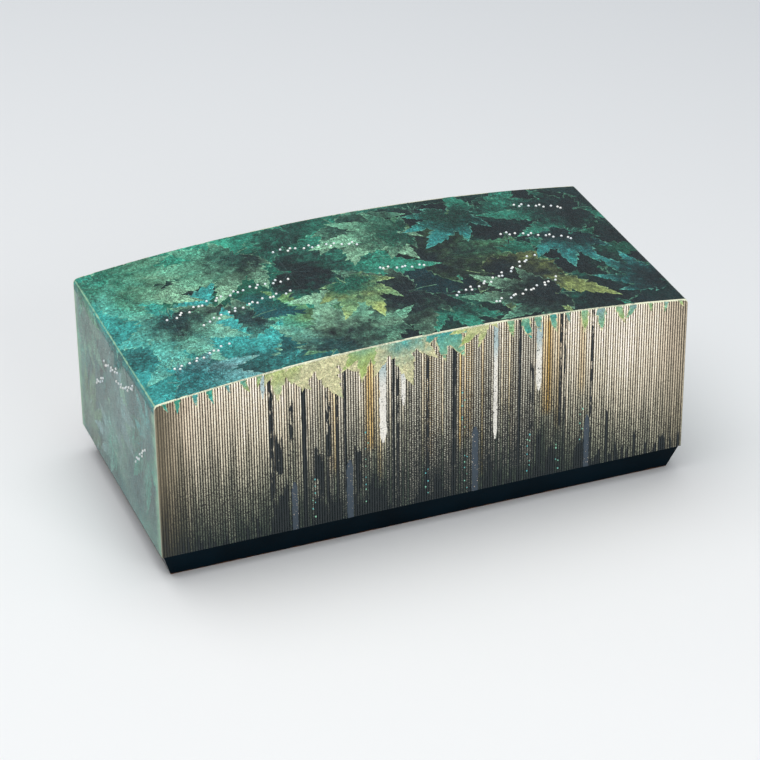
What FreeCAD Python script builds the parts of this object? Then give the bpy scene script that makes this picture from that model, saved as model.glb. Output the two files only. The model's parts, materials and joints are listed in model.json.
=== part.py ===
import FreeCAD, Part

import math
import os
import re

import Sketcher

# A lacquered writing box. X runs along the box, Y from front to back, Z up.
# The origin is the middle of the footprint, on the surface that the box stands on.

SIZES = [
    ("box_length", 300, "outside of the lid, end to end"),
    ("box_depth", 147, "outside of the lid, front to back"),
    ("plinth_height", 15.5, "black plinth under the lid"),
    ("plinth_inset", 1, "step from the lid's face in to the plinth's top edge"),
    ("plinth_slope", 5, "how far the plinth's bevel leans in further at its foot"),
    ("plinth_rail", 21, "width of a plinth rail on its top"),
    ("plinth_round", 1, "rounding of the plinth's foot"),
    ("base_board_thickness", 6, "floor of the box"),
    ("base_board_lap", 5, "how far the floor lies in the rails' rebate"),
    ("lid_height", 92, "lid at its corners, above the plinth"),
    ("vault_rise", 10, "crown of the lid above its corners"),
    ("lid_top", 5.5, "thickness of the vaulted panel"),
    ("lid_board", 5, "thickness of the lid's side boards"),
    ("lid_end_round", 2.6, "rounding where the top meets the ends"),
    ("facing_thickness", 1, "ribbed facing, back to rib crest"),
    ("reed_depth", 0.45, "groove between two ribs"),
    ("reed_pitch", 1.415, "from one rib to the next"),
    ("lid_clearance", 0.4, "between the lid and the walls inside it"),
    ("wall_thickness", 4.5, "walls of the box inside the lid"),
    ("wall_height", 44, "walls of the box above the plinth"),
    ("wall_round", 1.2, "rounding of the walls' and the rims' top edges"),
    ("key_width", 4.2, "corner key across the mitre"),
    ("key_thickness", 1.3, "corner key along the mitre"),
    ("key_stop", 6, "end of a corner key below the top of its board"),
    ("ledge_width", 6, "tray ledge, out from the wall"),
    ("ledge_height", 8, "tray ledge"),
    ("lower_depth", 28, "room under the tray"),
    ("tray_clearance", 0.35, "between the tray and the walls"),
    ("tray_floor_thickness", 3.5, "floor of the tray"),
    ("tray_rim_thickness", 3.5, "rims of the tray"),
    ("tray_rim_height", 23.5, "rims above the tray's floor"),
    ("scoop_radius", 18, "finger scoop in the tray's end rims"),
    ("scoop_depth", 8.5, "finger scoop below the rim's top"),
    ("divider_thickness", 3, "dividers of the tray"),
    ("divider_height", 15, "dividers above the tray's floor"),
    ("brush_bay_depth", 38, "front bay of the tray"),
    ("stone_end_room", 3, "between the inkstone's ends and the dividers"),
    ("stone_side_room", 2.75, "between the inkstone's sides and its bay"),
    ("rest_thickness", 7, "brush rest along the brush"),
    ("rest_height", 11, "brush rest up to the middle of the brushes"),
    ("rest_gap", 0.3, "between a brush and its notch"),
    ("rest_inset", 10.5, "middle of the left rest, in from the handles' ends"),
    ("rest_margin", 6.5, "middle of the right rest, back from the caps"),
    ("stone_length", 121, "inkstone"),
    ("stone_height", 18, "inkstone"),
    ("stone_rim", 6.5, "rim around the inkstone's hollow"),
    ("stone_corner", 6, "inkstone's corners"),
    ("stone_round", 1.2, "inkstone's top edges"),
    ("plain_depth", 3, "grinding plain below the inkstone's rim"),
    ("well_depth", 11, "ink well below the inkstone's rim"),
    ("well_length", 17, "flat floor of the ink well"),
    ("well_slope", 20, "slope from the plain down into the well"),
    ("stick_end_room", 4.25, "between the ink stick's ends and its bay"),
    ("stick_width", 18, "ink stick"),
    ("stick_height", 9, "ink stick"),
    ("stick_round", 2, "ink stick's edges"),
    ("stick_offset", 12, "ink stick in from the bay's left side"),
    ("dropper_room", 13.75, "between the water dropper and the ends of its bay"),
    ("dropper_side", 46, "water dropper"),
    ("dropper_height", 19, "water dropper's vessel"),
    ("dropper_corner", 10, "water dropper's corners"),
    ("dropper_wall", 1.6, "water dropper's metal"),
    ("cover_round", 0.7, "top edge of the dropper's cover"),
    ("air_hole_radius", 1.3, "air hole in the dropper's cover"),
    ("spout_radius", 3.4, "foot of the spout"),
    ("spout_tip_radius", 2.1, "tip of the spout"),
    ("spout_bore_radius", 1.2, "bore of the spout"),
    ("spout_height", 5, "spout above the cover"),
    ("spout_place", 13, "spout from the dropper's middle, each way"),
    ("large_handle_radius", 4.5, "large brush"),
    ("large_handle_length", 142, "large brush"),
    ("large_tuft_length", 36, "large brush"),
    ("small_handle_radius", 3.3, "small brush"),
    ("small_handle_length", 138, "small brush"),
    ("small_tuft_length", 26, "small brush"),
    ("brush_spacing", 17, "from one brush to the other"),
    ("brush_start", 5, "end of a brush from the bay's left side"),
    ("button_length", 5, "turned button on a handle's end"),
    ("spigot_length", 13, "reduced end of a handle, inside the cap"),
    ("spigot_step", 0.9, "how much thinner the reduced end is"),
    ("tuft_step", 0.7, "how much thinner the tuft is than the reduced end"),
    ("cap_gap", 0.3, "between a cap and what it covers"),
    ("cap_wall", 1, "wall of a cap"),
    ("cap_end", 3, "closed end of a cap"),
    ("tip_room", 12, "free room between the tuft and the cap's end"),
    ("dot_radius", 0.55, "inlaid shell dot"),
    ("dot_proud", 0.12, "how far a dot stands out of the lacquer"),
    ("dot_pitch", 3.1, "from one dot of a string to the next"),
]

PLACES = [
    ("half_length", "box_length / 2"),
    ("half_depth", "box_depth / 2"),
    ("lid_half_depth", "half_depth - facing_thickness"),
    ("plinth_half_length", "half_length - plinth_inset"),
    ("plinth_half_depth", "half_depth - plinth_inset"),
    ("foot_half_length", "plinth_half_length - plinth_slope"),
    ("foot_half_depth", "plinth_half_depth - plinth_slope"),
    ("rail_half_length", "plinth_half_length - plinth_rail"),
    ("rail_half_depth", "plinth_half_depth - plinth_rail"),
    ("board_half_length", "rail_half_length + base_board_lap"),
    ("board_half_depth", "rail_half_depth + base_board_lap"),
    ("base_board_under", "plinth_height - base_board_thickness"),
    ("corner_top", "plinth_height + lid_height"),
    ("crown_top", "corner_top + vault_rise"),
    ("vault_radius", "(half_length ^ 2 + vault_rise ^ 2) / (2 * vault_rise)"),
    ("vault_centre", "crown_top - vault_radius"),
    ("under_radius", "vault_radius - lid_top"),
    ("corner_under", "vault_centre + sqrt(under_radius ^ 2 - half_length ^ 2)"),
    ("cut_reach", "half_length + lid_board"),
    ("cut_under", "vault_centre + sqrt(under_radius ^ 2 - cut_reach ^ 2)"),
    ("lid_key_length", "corner_under - plinth_height - key_stop"),
    ("lid_inner_length", "half_length - lid_board"),
    ("lid_inner_depth", "lid_half_depth - lid_board"),
    ("wall_outer_length", "lid_inner_length - lid_clearance"),
    ("wall_outer_depth", "lid_inner_depth - lid_clearance"),
    ("wall_inner_length", "wall_outer_length - wall_thickness"),
    ("wall_inner_depth", "wall_outer_depth - wall_thickness"),
    ("wall_top", "plinth_height + wall_height"),
    ("wall_key_length", "wall_height - key_stop"),
    ("tray_under", "plinth_height + lower_depth"),
    ("ledge_under", "tray_under - ledge_height"),
    ("tray_half_length", "wall_inner_length - tray_clearance"),
    ("tray_half_depth", "wall_inner_depth - tray_clearance"),
    ("tray_floor", "tray_under + tray_floor_thickness"),
    ("tray_top", "tray_floor + tray_rim_height"),
    ("bay_half_length", "tray_half_length - tray_rim_thickness"),
    ("bay_half_depth", "tray_half_depth - tray_rim_thickness"),
    ("scoop_centre", "tray_top - scoop_depth + scoop_radius"),
    ("brush_bay_back", "brush_bay_depth - bay_half_depth"),
    ("back_bay_front", "brush_bay_back + divider_thickness"),
    ("back_bay_middle", "(back_bay_front + bay_half_depth) / 2"),
    ("back_bay_depth", "bay_half_depth - back_bay_front"),
    ("stone_bay_length", "stone_length + 2 * stone_end_room"),
    ("dropper_bay_length", "dropper_side + 2 * dropper_room"),
    ("filled_length", "stone_bay_length + dropper_bay_length + 2 * divider_thickness"),
    ("stick_bay_length", "2 * bay_half_length - filled_length"),
    ("stick_bay_right", "stick_bay_length - bay_half_length"),
    ("stone_bay_left", "stick_bay_right + divider_thickness"),
    ("stone_bay_right", "stone_bay_left + stone_bay_length"),
    ("dropper_bay_left", "stone_bay_right + divider_thickness"),
    ("stone_middle", "(stone_bay_left + stone_bay_right) / 2"),
    ("stone_depth", "back_bay_depth - 2 * stone_side_room"),
    ("stick_length", "back_bay_depth - 2 * stick_end_room"),
    ("dropper_middle", "(dropper_bay_left + bay_half_length) / 2"),
    ("stone_hollow_half", "stone_length / 2 - stone_rim"),
    ("well_end", "well_length - stone_hollow_half"),
    ("plain_start", "well_end + well_slope"),
    ("plain_level", "stone_height - plain_depth"),
    ("well_level", "stone_height - well_depth"),
    ("cut_above", "stone_height + plain_depth"),
    ("stick_middle", "stick_offset + stick_width / 2 - bay_half_length"),
    ("cover_top", "dropper_height + dropper_wall"),
    ("spout_neck", "spout_height - spout_tip_radius"),
    ("brush_level", "tray_floor + rest_height"),
    ("brush_left", "brush_start - bay_half_length"),
    ("brush_bay_middle", "brush_bay_depth / 2 - bay_half_depth"),
    ("large_brush_y", "brush_bay_middle - brush_spacing / 2"),
    ("small_brush_y", "brush_bay_middle + brush_spacing / 2"),
    ("handle_start", "brush_left + button_length"),
    ("short_handle", "min(large_handle_length; small_handle_length)"),
    ("left_rest", "handle_start + rest_inset"),
    ("right_rest", "handle_start + short_handle - spigot_length - rest_margin"),
]

for brush in ("large", "small"):
    PLACES += [
        (f"{brush}_spigot", f"{brush}_handle_radius - spigot_step"),
        (f"{brush}_shoulder", f"{brush}_handle_length - spigot_length"),
        (f"{brush}_tuft", f"{brush}_spigot - tuft_step"),
        (f"{brush}_ogive", f"({brush}_tuft_length ^ 2 - {brush}_tuft ^ 2) / (2 * {brush}_tuft)"),
        (f"{brush}_cap_bore", f"{brush}_spigot + cap_gap"),
        (f"{brush}_cap_radius", f"{brush}_cap_bore + cap_wall"),
        (f"{brush}_cap_room", f"spigot_length - cap_gap + {brush}_tuft_length + tip_room"),
        (f"{brush}_cap_length", f"{brush}_cap_room + cap_end"),
    ]

document = FreeCAD.newDocument("writing_box")
sheet = document.addObject("Spreadsheet::Sheet", "Sizes")
for row, (name, value, note) in enumerate(SIZES, 1):
    sheet.set(f"A{row}", name)
    sheet.set(f"B{row}", str(value))
    sheet.set(f"C{row}", note)
    sheet.setAlias(f"B{row}", name)
document.recompute()

OWNER = {name: "Sizes." for name, _, _ in SIZES}
OWNER.update({name: "Places." for name, _ in PLACES})


def bound(expression):
    """Say which table each size name in an expression comes from."""
    return re.sub(r"[a-z_]+", lambda word: OWNER.get(word.group(), "") + word.group(), expression)


places = document.addObject("App::VarSet", "Places")
for name, expression in PLACES:
    places.addProperty("App::PropertyFloat", name, "Places", "")
    places.setExpression(name, bound(expression))
document.recompute()


def number(expression):
    return float(places.evalExpression(bound(expression)))


# ---------------------------------------------------------------- drawing and solid helpers

subparts = []


def new_body(label):
    body = document.addObject("PartDesign::Body", label)
    body.Label = label
    subparts.append(body)
    return body


def place(body, x="0", y="0", z="0"):
    for axis, expression in zip("xyz", (x, y, z)):
        body.setExpression(f"Placement.Base.{axis}", bound(expression))


def new_sketch(body, role, lift):
    sketch = body.newObject("Sketcher::SketchObject", "outline")
    plane = next(item for item in body.Origin.OriginFeatures if item.Role == role)
    sketch.AttachmentSupport = (plane, "")
    sketch.MapMode = "FlatFace"
    sketch.setExpression("AttachmentOffset.Base.z", bound(lift))
    return sketch


def fix(sketch, item, point, x=None, y=None):
    """Tie one point of a sketch to the sizes."""
    for kind, expression in (("DistanceX", x), ("DistanceY", y)):
        if expression is not None:
            distance = Sketcher.Constraint(kind, -1, 1, item, point, number(expression))
            index = sketch.addConstraint(distance)
            sketch.setExpression(f"Constraints[{index}]", bound(expression))


def draw_loop(sketch, corners):
    """Draw a closed loop.

    A corner is (x, y), or (x, y, what is fixed, arc), where the arc that leaves
    the corner is (centre x, centre y, "left" or "right" turning).
    """
    first = sketch.GeometryCount
    points = [FreeCAD.Vector(number(corner[0]), number(corner[1]), 0) for corner in corners]
    ends = []
    for index, corner in enumerate(corners):
        start = points[index]
        stop = points[(index + 1) % len(points)]
        arc = corner[3] if len(corner) > 3 else None
        if arc is None:
            sketch.addGeometry(Part.LineSegment(start, stop), False)
            ends.append((1, 2))
            continue
        centre = FreeCAD.Vector(number(arc[0]), number(arc[1]), 0)
        circle = Part.Circle(centre, FreeCAD.Vector(0, 0, 1), start.distanceToPoint(centre))
        angles = [math.atan2(p.y - centre.y, p.x - centre.x) for p in (start, stop)]
        if arc[2] == "right":
            angles.reverse()
        sketch.addGeometry(Part.ArcOfCircle(circle, *angles), False)
        ends.append((1, 2) if arc[2] == "left" else (2, 1))
        fix(sketch, first + index, 3, arc[0], arc[1])
    for index, corner in enumerate(corners):
        following = (index + 1) % len(corners)
        sketch.addConstraint(Sketcher.Constraint(
            "Coincident", first + index, ends[index][1], first + following, ends[following][0]))
        fixed = corner[2] if len(corner) > 2 else "xy"
        x = corner[0] if "x" in fixed else None
        y = corner[1] if "y" in fixed else None
        fix(sketch, first + index, ends[index][0], x, y)


def loops(body, role, *corner_lists, lift="0"):
    sketch = new_sketch(body, role, lift)
    for corners in corner_lists:
        draw_loop(sketch, corners)
    return sketch


def circles(body, role, *rounds, lift="0"):
    """Draw circles, each (centre x, centre y, radius)."""
    sketch = new_sketch(body, role, lift)
    for index, (x, y, radius) in enumerate(rounds):
        centre = FreeCAD.Vector(number(x), number(y), 0)
        circle = Part.Circle(centre, FreeCAD.Vector(0, 0, 1), number(radius))
        sketch.addGeometry(circle, False)
        fix(sketch, index, 3, x, y)
        size = sketch.addConstraint(Sketcher.Constraint("Radius", index, number(radius)))
        sketch.setExpression(f"Constraints[{size}]", bound(radius))
    return sketch


def rectangle(x_low, x_high, y_low, y_high):
    return [(x_low, y_low), (x_high, y_low), (x_high, y_high), (x_low, y_high)]


def centred(half_x, half_y):
    return rectangle(f"-({half_x})", half_x, f"-({half_y})", half_y)


def pad(body, sketch, length, middle=False):
    feature = body.newObject("PartDesign::Pad", "pad")
    feature.Profile = sketch
    feature.setExpression("Length", bound(length))
    feature.Midplane = middle
    document.recompute()
    return feature


def cut(body, sketch, length=None, middle=False, upward=False):
    """Cut a sketch into the body, right through where no length is given."""
    before = body.Shape.Volume
    feature = body.newObject("PartDesign::Pocket", "cut")
    feature.Profile = sketch
    if length is None:
        feature.Type = "ThroughAll"
    else:
        feature.setExpression("Length", bound(length))
    feature.Midplane = middle
    feature.Reversed = upward
    document.recompute()
    if not body.Shape.Volume < before:
        raise RuntimeError(f"{body.Label}: a cut took nothing away")
    return feature


def turn(body, sketch):
    """Turn a sketch around the X axis of its body."""
    feature = body.newObject("PartDesign::Revolution", "turned")
    feature.Profile = sketch
    feature.ReferenceAxis = (sketch, ["H_Axis"])
    feature.Angle = 360
    document.recompute()
    return feature


def soften(body, radius, chosen):
    """Round the edges for which chosen(edge's end points) is true."""
    base = body.Tip
    names = []
    for index, edge in enumerate(base.Shape.Edges, 1):
        ends = [vertex.Point for vertex in edge.Vertexes]
        if chosen(ends):
            names.append(f"Edge{index}")
    if not names:
        raise RuntimeError(f"{body.Label}: no edge to round")
    feature = body.newObject("PartDesign::Fillet", "rounded")
    feature.Base = (base, names)
    feature.setExpression("Radius", bound(radius))
    document.recompute()
    return feature


def same(first, second):
    return abs(first - second) < 1e-4


def upright(ends):
    return len(ends) == 2 and same(ends[0].x, ends[1].x) and same(ends[0].y, ends[1].y)


def at_level(level):
    height = number(level)
    return lambda ends: bool(ends) and all(same(end.z, height) for end in ends)


def slab(label, outline, low, thickness):
    """A board that lies flat, cut to an outline seen from above."""
    body = new_body(label)
    pad(body, loops(body, "XY_Plane", outline, lift=low), thickness)
    return body


# ---------------------------------------------------------------- mitred frames

SIDES = {"front": (0, -1), "back": (0, 1), "left": (-1, 0), "right": (1, 0)}


def signed(sign, expression):
    return expression if sign > 0 else f"-({expression})"


def mitred(side, outer_x, outer_y, inner_x, inner_y):
    """One side of a mitred frame, seen from above."""
    across, along = SIDES[side]
    outer = (outer_x, outer_y)
    inner = (inner_x, inner_y)
    if along:
        corners = [(-1, outer), (1, outer), (1, inner), (-1, inner)]
        return [(signed(sign, x), signed(along, y)) for sign, (x, y) in corners]
    corners = [(-1, outer), (-1, inner), (1, inner), (1, outer)]
    return [(signed(across, x), signed(sign, y)) for sign, (x, y) in corners]


def key_outline(side_x, side_y, outer_x, outer_y, thickness):
    """The slip that crosses a mitre at 45 degrees, seen from above."""
    middle_x = f"({outer_x} - {thickness} / 2)"
    middle_y = f"({outer_y} - {thickness} / 2)"
    far = "(key_width + key_thickness) / 2 * sqrt(0.5)"
    near = "(key_width - key_thickness) / 2 * sqrt(0.5)"
    corners = [
        (f"{middle_x} + {far}", f"{middle_y} - {near}"),
        (f"{middle_x} + {near}", f"{middle_y} - {far}"),
        (f"{middle_x} - {far}", f"{middle_y} + {near}"),
        (f"{middle_x} - {near}", f"{middle_y} + {far}"),
    ]
    return [(signed(side_x, x), signed(side_y, y)) for x, y in corners]


def side_board(label, side, outer_x, outer_y, thickness, low, height):
    body = new_body(label)
    outline = mitred(side, outer_x, outer_y, f"{outer_x} - {thickness}", f"{outer_y} - {thickness}")
    pad(body, loops(body, "XY_Plane", outline, lift=low), height)
    return body


def key_slots(body, side, outer_x, outer_y, thickness, low, length):
    """Cut the slots for the corner keys up into both ends of a board."""
    across, along = SIDES[side]
    corners = [(across or sign, along or sign) for sign in (-1, 1)]
    slots = [key_outline(x, y, outer_x, outer_y, thickness) for x, y in corners]
    cut(body, loops(body, "XY_Plane", *slots, lift=low), length, upward=True)


def corner_keys(label, outer_x, outer_y, thickness, low, length):
    body = new_body(label)
    outlines = [key_outline(x, y, outer_x, outer_y, thickness) for x in (-1, 1) for y in (-1, 1)]
    pad(body, loops(body, "XY_Plane", *outlines, lift=low), length)
    return body


def under_vault(body):
    """Trim a board to the underside of the vaulted panel."""
    outline = [
        ("-cut_reach", "cut_under", "xy", ("0", "vault_centre", "right")),
        ("cut_reach", "cut_under", "x", None),
        ("cut_reach", "crown_top"),
        ("-cut_reach", "crown_top"),
    ]
    cut(body, loops(body, "XZ_Plane", outline), middle=True)


# ---------------------------------------------------------------- plinth and floor

def plinth_rail(side):
    """A bevelled rail: its outline shrinks from the top down to the foot."""
    body = new_body(f"plinth_{side}")
    foot = mitred(side, "foot_half_length", "foot_half_depth", "rail_half_length", "rail_half_depth")
    head = mitred(side, "plinth_half_length", "plinth_half_depth", "rail_half_length", "rail_half_depth")
    rail = body.newObject("PartDesign::AdditiveLoft", "rail")
    rail.Profile = loops(body, "XY_Plane", foot)
    rail.Sections = [loops(body, "XY_Plane", head, lift="plinth_height")]
    rail.Ruled = True
    document.recompute()
    rebate = centred("board_half_length", "board_half_depth")
    cut(body, loops(body, "XY_Plane", rebate, lift="plinth_height"), "base_board_thickness")
    across, along = SIDES[side]
    foot_line = number("foot_half_length" if across else "foot_half_depth")

    def outer_foot(ends):
        on_foot = [same(end.z, 0) and same(end.x * across + end.y * along, foot_line) for end in ends]
        return len(ends) == 2 and all(on_foot)

    soften(body, "plinth_round", outer_foot)


def base_board():
    outline = centred("board_half_length", "board_half_depth")
    slab("base_board", outline, "base_board_under", "base_board_thickness")


# ---------------------------------------------------------------- lid

def lid_top_panel():
    body = new_body("lid_top_panel")
    outline = [
        ("-half_length", "corner_top", "xy", ("0", "vault_centre", "right")),
        ("half_length", "corner_top", "x", None),
        ("half_length", "corner_under", "xy", ("0", "vault_centre", "left")),
        ("-half_length", "corner_under", "x", None),
    ]
    pad(body, loops(body, "XZ_Plane", outline), "2 * lid_half_depth", middle=True)
    corner = number("corner_top")

    def end_edge(ends):
        level = all(same(end.z, corner) for end in ends)
        return len(ends) == 2 and level and same(ends[0].x, ends[1].x)

    soften(body, "lid_end_round", end_edge)


def lid_boards():
    frame = ("half_length", "lid_half_depth", "lid_board", "plinth_height")
    for side in SIDES:
        body = side_board(f"lid_{side}_board", side, *frame, "lid_height + vault_rise")
        under_vault(body)
        key_slots(body, side, *frame, "lid_key_length")
    corner_keys("lid_corner_keys", *frame, "lid_key_length")


def ribbed_facings():
    """Veneers with upright half-round ribs, trimmed to the lid's profile, front and back."""
    half = number("half_length")
    low = number("plinth_height")
    face_y = -number("half_depth")
    groove_y = face_y + number("reed_depth")
    back_y = -number("lid_half_depth")
    count = round(2 * half / number("reed_pitch"))
    pitch = 2 * half / count
    edges = []
    for index in range(count):
        left = index * pitch - half
        edges.append(Part.Arc(
            FreeCAD.Vector(left, groove_y, low),
            FreeCAD.Vector(left + pitch / 2, face_y, low),
            FreeCAD.Vector(left + pitch, groove_y, low)).toShape())
    rim = [FreeCAD.Vector(half, groove_y, low), FreeCAD.Vector(half, back_y, low),
           FreeCAD.Vector(-half, back_y, low), FreeCAD.Vector(-half, groove_y, low)]
    edges += [Part.makeLine(start, stop) for start, stop in zip(rim, rim[1:])]
    height = number("crown_top") - low
    ribs = Part.Face(Part.Wire(edges)).extrude(FreeCAD.Vector(0, 0, height))

    spare = number("lid_board")
    corner = number("corner_top")
    inside_y = back_y + spare
    bottom_left = FreeCAD.Vector(-half, inside_y, low - spare)
    bottom_right = FreeCAD.Vector(half, inside_y, low - spare)
    top_left = FreeCAD.Vector(-half, inside_y, corner)
    top_right = FreeCAD.Vector(half, inside_y, corner)
    crown = FreeCAD.Vector(0, inside_y, number("crown_top"))
    profile = Part.Wire([
        Part.makeLine(bottom_left, bottom_right),
        Part.makeLine(bottom_right, top_right),
        Part.Arc(top_right, crown, top_left).toShape(),
        Part.makeLine(top_left, bottom_left)])
    plate = Part.Face(profile).extrude(FreeCAD.Vector(0, face_y - inside_y - spare, 0))
    corners = [edge for edge in plate.Edges if all(same(v.Z, corner) for v in edge.Vertexes)
               and same(edge.Vertexes[0].X, edge.Vertexes[-1].X)]
    plate = plate.makeFillet(number("lid_end_round"), corners)
    shape = ribs.common(plate)

    upward = FreeCAD.Vector(0, 0, 1)
    for label, turned_by in (("front_ribbed_facing", 0), ("back_ribbed_facing", 180)):
        facing = document.addObject("Part::Feature", label)
        facing.Label = label
        facing.Shape = shape
        facing.Placement = FreeCAD.Placement(FreeCAD.Vector(), FreeCAD.Rotation(upward, turned_by))
        subparts.append(facing)


def string_of_dots(start, heading, bend, count, wander):
    """Places along a gently bending string, each a little off the line.

    The heading and the bend from dot to dot are in degrees.
    """
    pitch = number("dot_pitch")
    x, y = start
    spots = []
    for index in range(count):
        angle = math.radians(heading + bend * index)
        aside = wander * math.sin(2.4 * index + start[0])
        skip = 1 + 0.5 * math.sin(1.7 * index + start[1])
        spots.append((x - aside * math.sin(angle), y + aside * math.cos(angle)))
        x += pitch * skip * math.cos(angle)
        y += pitch * skip * math.sin(angle)
    return spots


def dots(label, spots, seat):
    """Shell dots as one group, each seated by seat(spot), which gives a point and a direction."""
    discs = []
    for spot in spots:
        point, direction = seat(spot)
        discs.append(Part.makeCylinder(number("dot_radius"), number("dot_proud"), point, direction))
    group = document.addObject("Part::Feature", label)
    group.Label = label
    group.Shape = Part.makeCompound(discs)
    subparts.append(group)


def lid_dots():
    """Strings of dots over the top and both ends.

    Each string starts at a share of its face's half sizes, and then has its heading
    and its bend from dot to dot in degrees, its count of dots and its unevenness.
    """
    half_x = number("half_length") - number("lid_end_round")
    half_y = number("lid_half_depth")
    radius = number("vault_radius")
    centre = number("vault_centre")

    def on_vault(spot):
        x, y = spot
        direction = FreeCAD.Vector(x, 0, math.sqrt(radius ** 2 - x ** 2))
        return FreeCAD.Vector(x, y, centre + direction.z), direction

    top_strings = {
        "lid_top_left_dots": [
            ((-0.8, 0.02), 22, -1.2, 24, 1.6), ((-0.7, -0.16), 20, -1, 18, 1.4),
            ((-0.3, 0.62), -6, -0.8, 16, 1.5), ((-0.88, -0.64), 12, 1, 12, 1.2),
        ],
        "lid_top_right_dots": [
            ((0.2, -0.52), 16, 1.2, 22, 1.6), ((0.32, -0.72), 14, 1, 16, 1.3),
            ((0.55, 0.3), -14, -1, 14, 1.4), ((0.7, 0.74), -10, -1.4, 10, 1.3),
            ((0.02, 0.06), -18, 1.4, 9, 1),
        ],
    }
    for label, strings in top_strings.items():
        spots = []
        for (x, y), heading, bend, count, wander in strings:
            spots += string_of_dots((x * half_x, y * half_y), heading, bend, count, wander)
        dots(label, spots, on_vault)

    low = number("plinth_height")
    height = number("lid_height")
    end_strings = [
        ((-0.5, 0.9), -34, 2.0, 12, 1.0), ((-0.1, 0.84), -28, 2.4, 10, 1.2),
        ((0.3, 0.62), -40, 3.0, 7, 1.0), ((-0.72, 0.6), -52, 2.6, 9, 1.1),
    ]
    for side, label in ((-1, "lid_left_dots"), (1, "lid_right_dots")):

        def on_end(spot):
            y, z = spot
            return FreeCAD.Vector(side * number("half_length"), -side * y, z), FreeCAD.Vector(side, 0, 0)

        spots = []
        for (y, z), heading, bend, count, wander in end_strings:
            spots += string_of_dots((y * half_y, low + z * height), heading, bend, count, wander)
        dots(label, spots, on_end)


# ---------------------------------------------------------------- walls of the box

def box_walls():
    frame = ("wall_outer_length", "wall_outer_depth", "wall_thickness", "plinth_height")
    for side in SIDES:
        body = side_board(f"box_{side}_wall", side, *frame, "wall_height")
        key_slots(body, side, *frame, "wall_key_length")
        soften(body, "wall_round", long_top_edge(side, "wall_top"))
    corner_keys("box_corner_keys", *frame, "wall_key_length")


def long_top_edge(side, level):
    """Both long edges on top of a frame's side."""
    across, along = SIDES[side]
    on_top = at_level(level)

    def chosen(ends):
        run = len(ends) == 2 and (same(ends[0].y, ends[1].y) if along else same(ends[0].x, ends[1].x))
        return run and on_top(ends)

    return chosen


def tray_ledges():
    for side, sign in (("left", -1), ("right", 1)):
        inner = "wall_inner_length - ledge_width"
        span = ("wall_inner_length", inner) if sign > 0 else (f"-({inner})", "-wall_inner_length")
        outline = rectangle(span[1], span[0], "-wall_inner_depth", "wall_inner_depth")
        slab(f"tray_ledge_{side}", outline, "ledge_under", "ledge_height")


# ---------------------------------------------------------------- tray

def tray():
    slab("tray_floor", centred("tray_half_length", "tray_half_depth"), "tray_under", "tray_floor_thickness")
    frame = ("tray_half_length", "tray_half_depth", "tray_rim_thickness", "tray_floor")
    for side in SIDES:
        body = side_board(f"tray_{side}_rim", side, *frame, "tray_rim_height")
        soften(body, "wall_round", long_top_edge(side, "tray_top"))
        if side in ("left", "right"):
            scoop = circles(body, "YZ_Plane", ("0", "scoop_centre", "scoop_radius"))
            cut(body, scoop, middle=True)
    long_divider = rectangle("-bay_half_length", "bay_half_length", "brush_bay_back", "back_bay_front")
    slab("tray_long_divider", long_divider, "tray_floor", "divider_height")
    stick_divider = rectangle("stick_bay_right", "stone_bay_left", "back_bay_front", "bay_half_depth")
    slab("tray_left_divider", stick_divider, "tray_floor", "divider_height")
    dropper_divider = rectangle("stone_bay_right", "dropper_bay_left", "back_bay_front", "bay_half_depth")
    slab("tray_right_divider", dropper_divider, "tray_floor", "divider_height")
    for side in ("left", "right"):
        brush_rest(side)


def brush_rest(side):
    """A block across the brush bay with a round notch for each brush."""
    body = new_body(f"brush_rest_{side}")
    middle = f"{side}_rest"
    block = rectangle(f"{middle} - rest_thickness / 2", f"{middle} + rest_thickness / 2",
                      "-bay_half_depth", "brush_bay_back")
    pad(body, loops(body, "XY_Plane", block, lift="tray_floor"), "rest_height")
    notches = [(f"{brush}_brush_y", "brush_level", f"{brush}_handle_radius + rest_gap")
               for brush in ("large", "small")]
    cut(body, circles(body, "YZ_Plane", *notches), middle=True)


# ---------------------------------------------------------------- inkstone, ink stick, water dropper

def inkstone():
    body = new_body("inkstone")
    pad(body, loops(body, "XY_Plane", centred("stone_length / 2", "stone_depth / 2")), "stone_height")
    soften(body, "stone_corner", upright)
    hollow = [
        ("-stone_hollow_half", "cut_above"), ("-stone_hollow_half", "well_level"),
        ("well_end", "well_level"), ("plain_start", "plain_level"),
        ("stone_hollow_half", "plain_level"), ("stone_hollow_half", "cut_above"),
    ]
    cut(body, loops(body, "XZ_Plane", hollow), "stone_depth - 2 * stone_rim", middle=True)
    reach = number("stone_hollow_half")
    soften(body, "stone_corner - stone_round",
           lambda ends: upright(ends) and same(abs(ends[0].x), reach))
    soften(body, "stone_round", at_level("stone_height"))
    place(body, "stone_middle", "back_bay_middle", "tray_floor")


def ink_stick():
    body = new_body("ink_stick")
    pad(body, loops(body, "XY_Plane", centred("stick_width / 2", "stick_length / 2")), "stick_height")
    soften(body, "stick_round", lambda ends: len(ends) == 2)
    place(body, "stick_middle", "back_bay_middle", "tray_floor")


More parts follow.
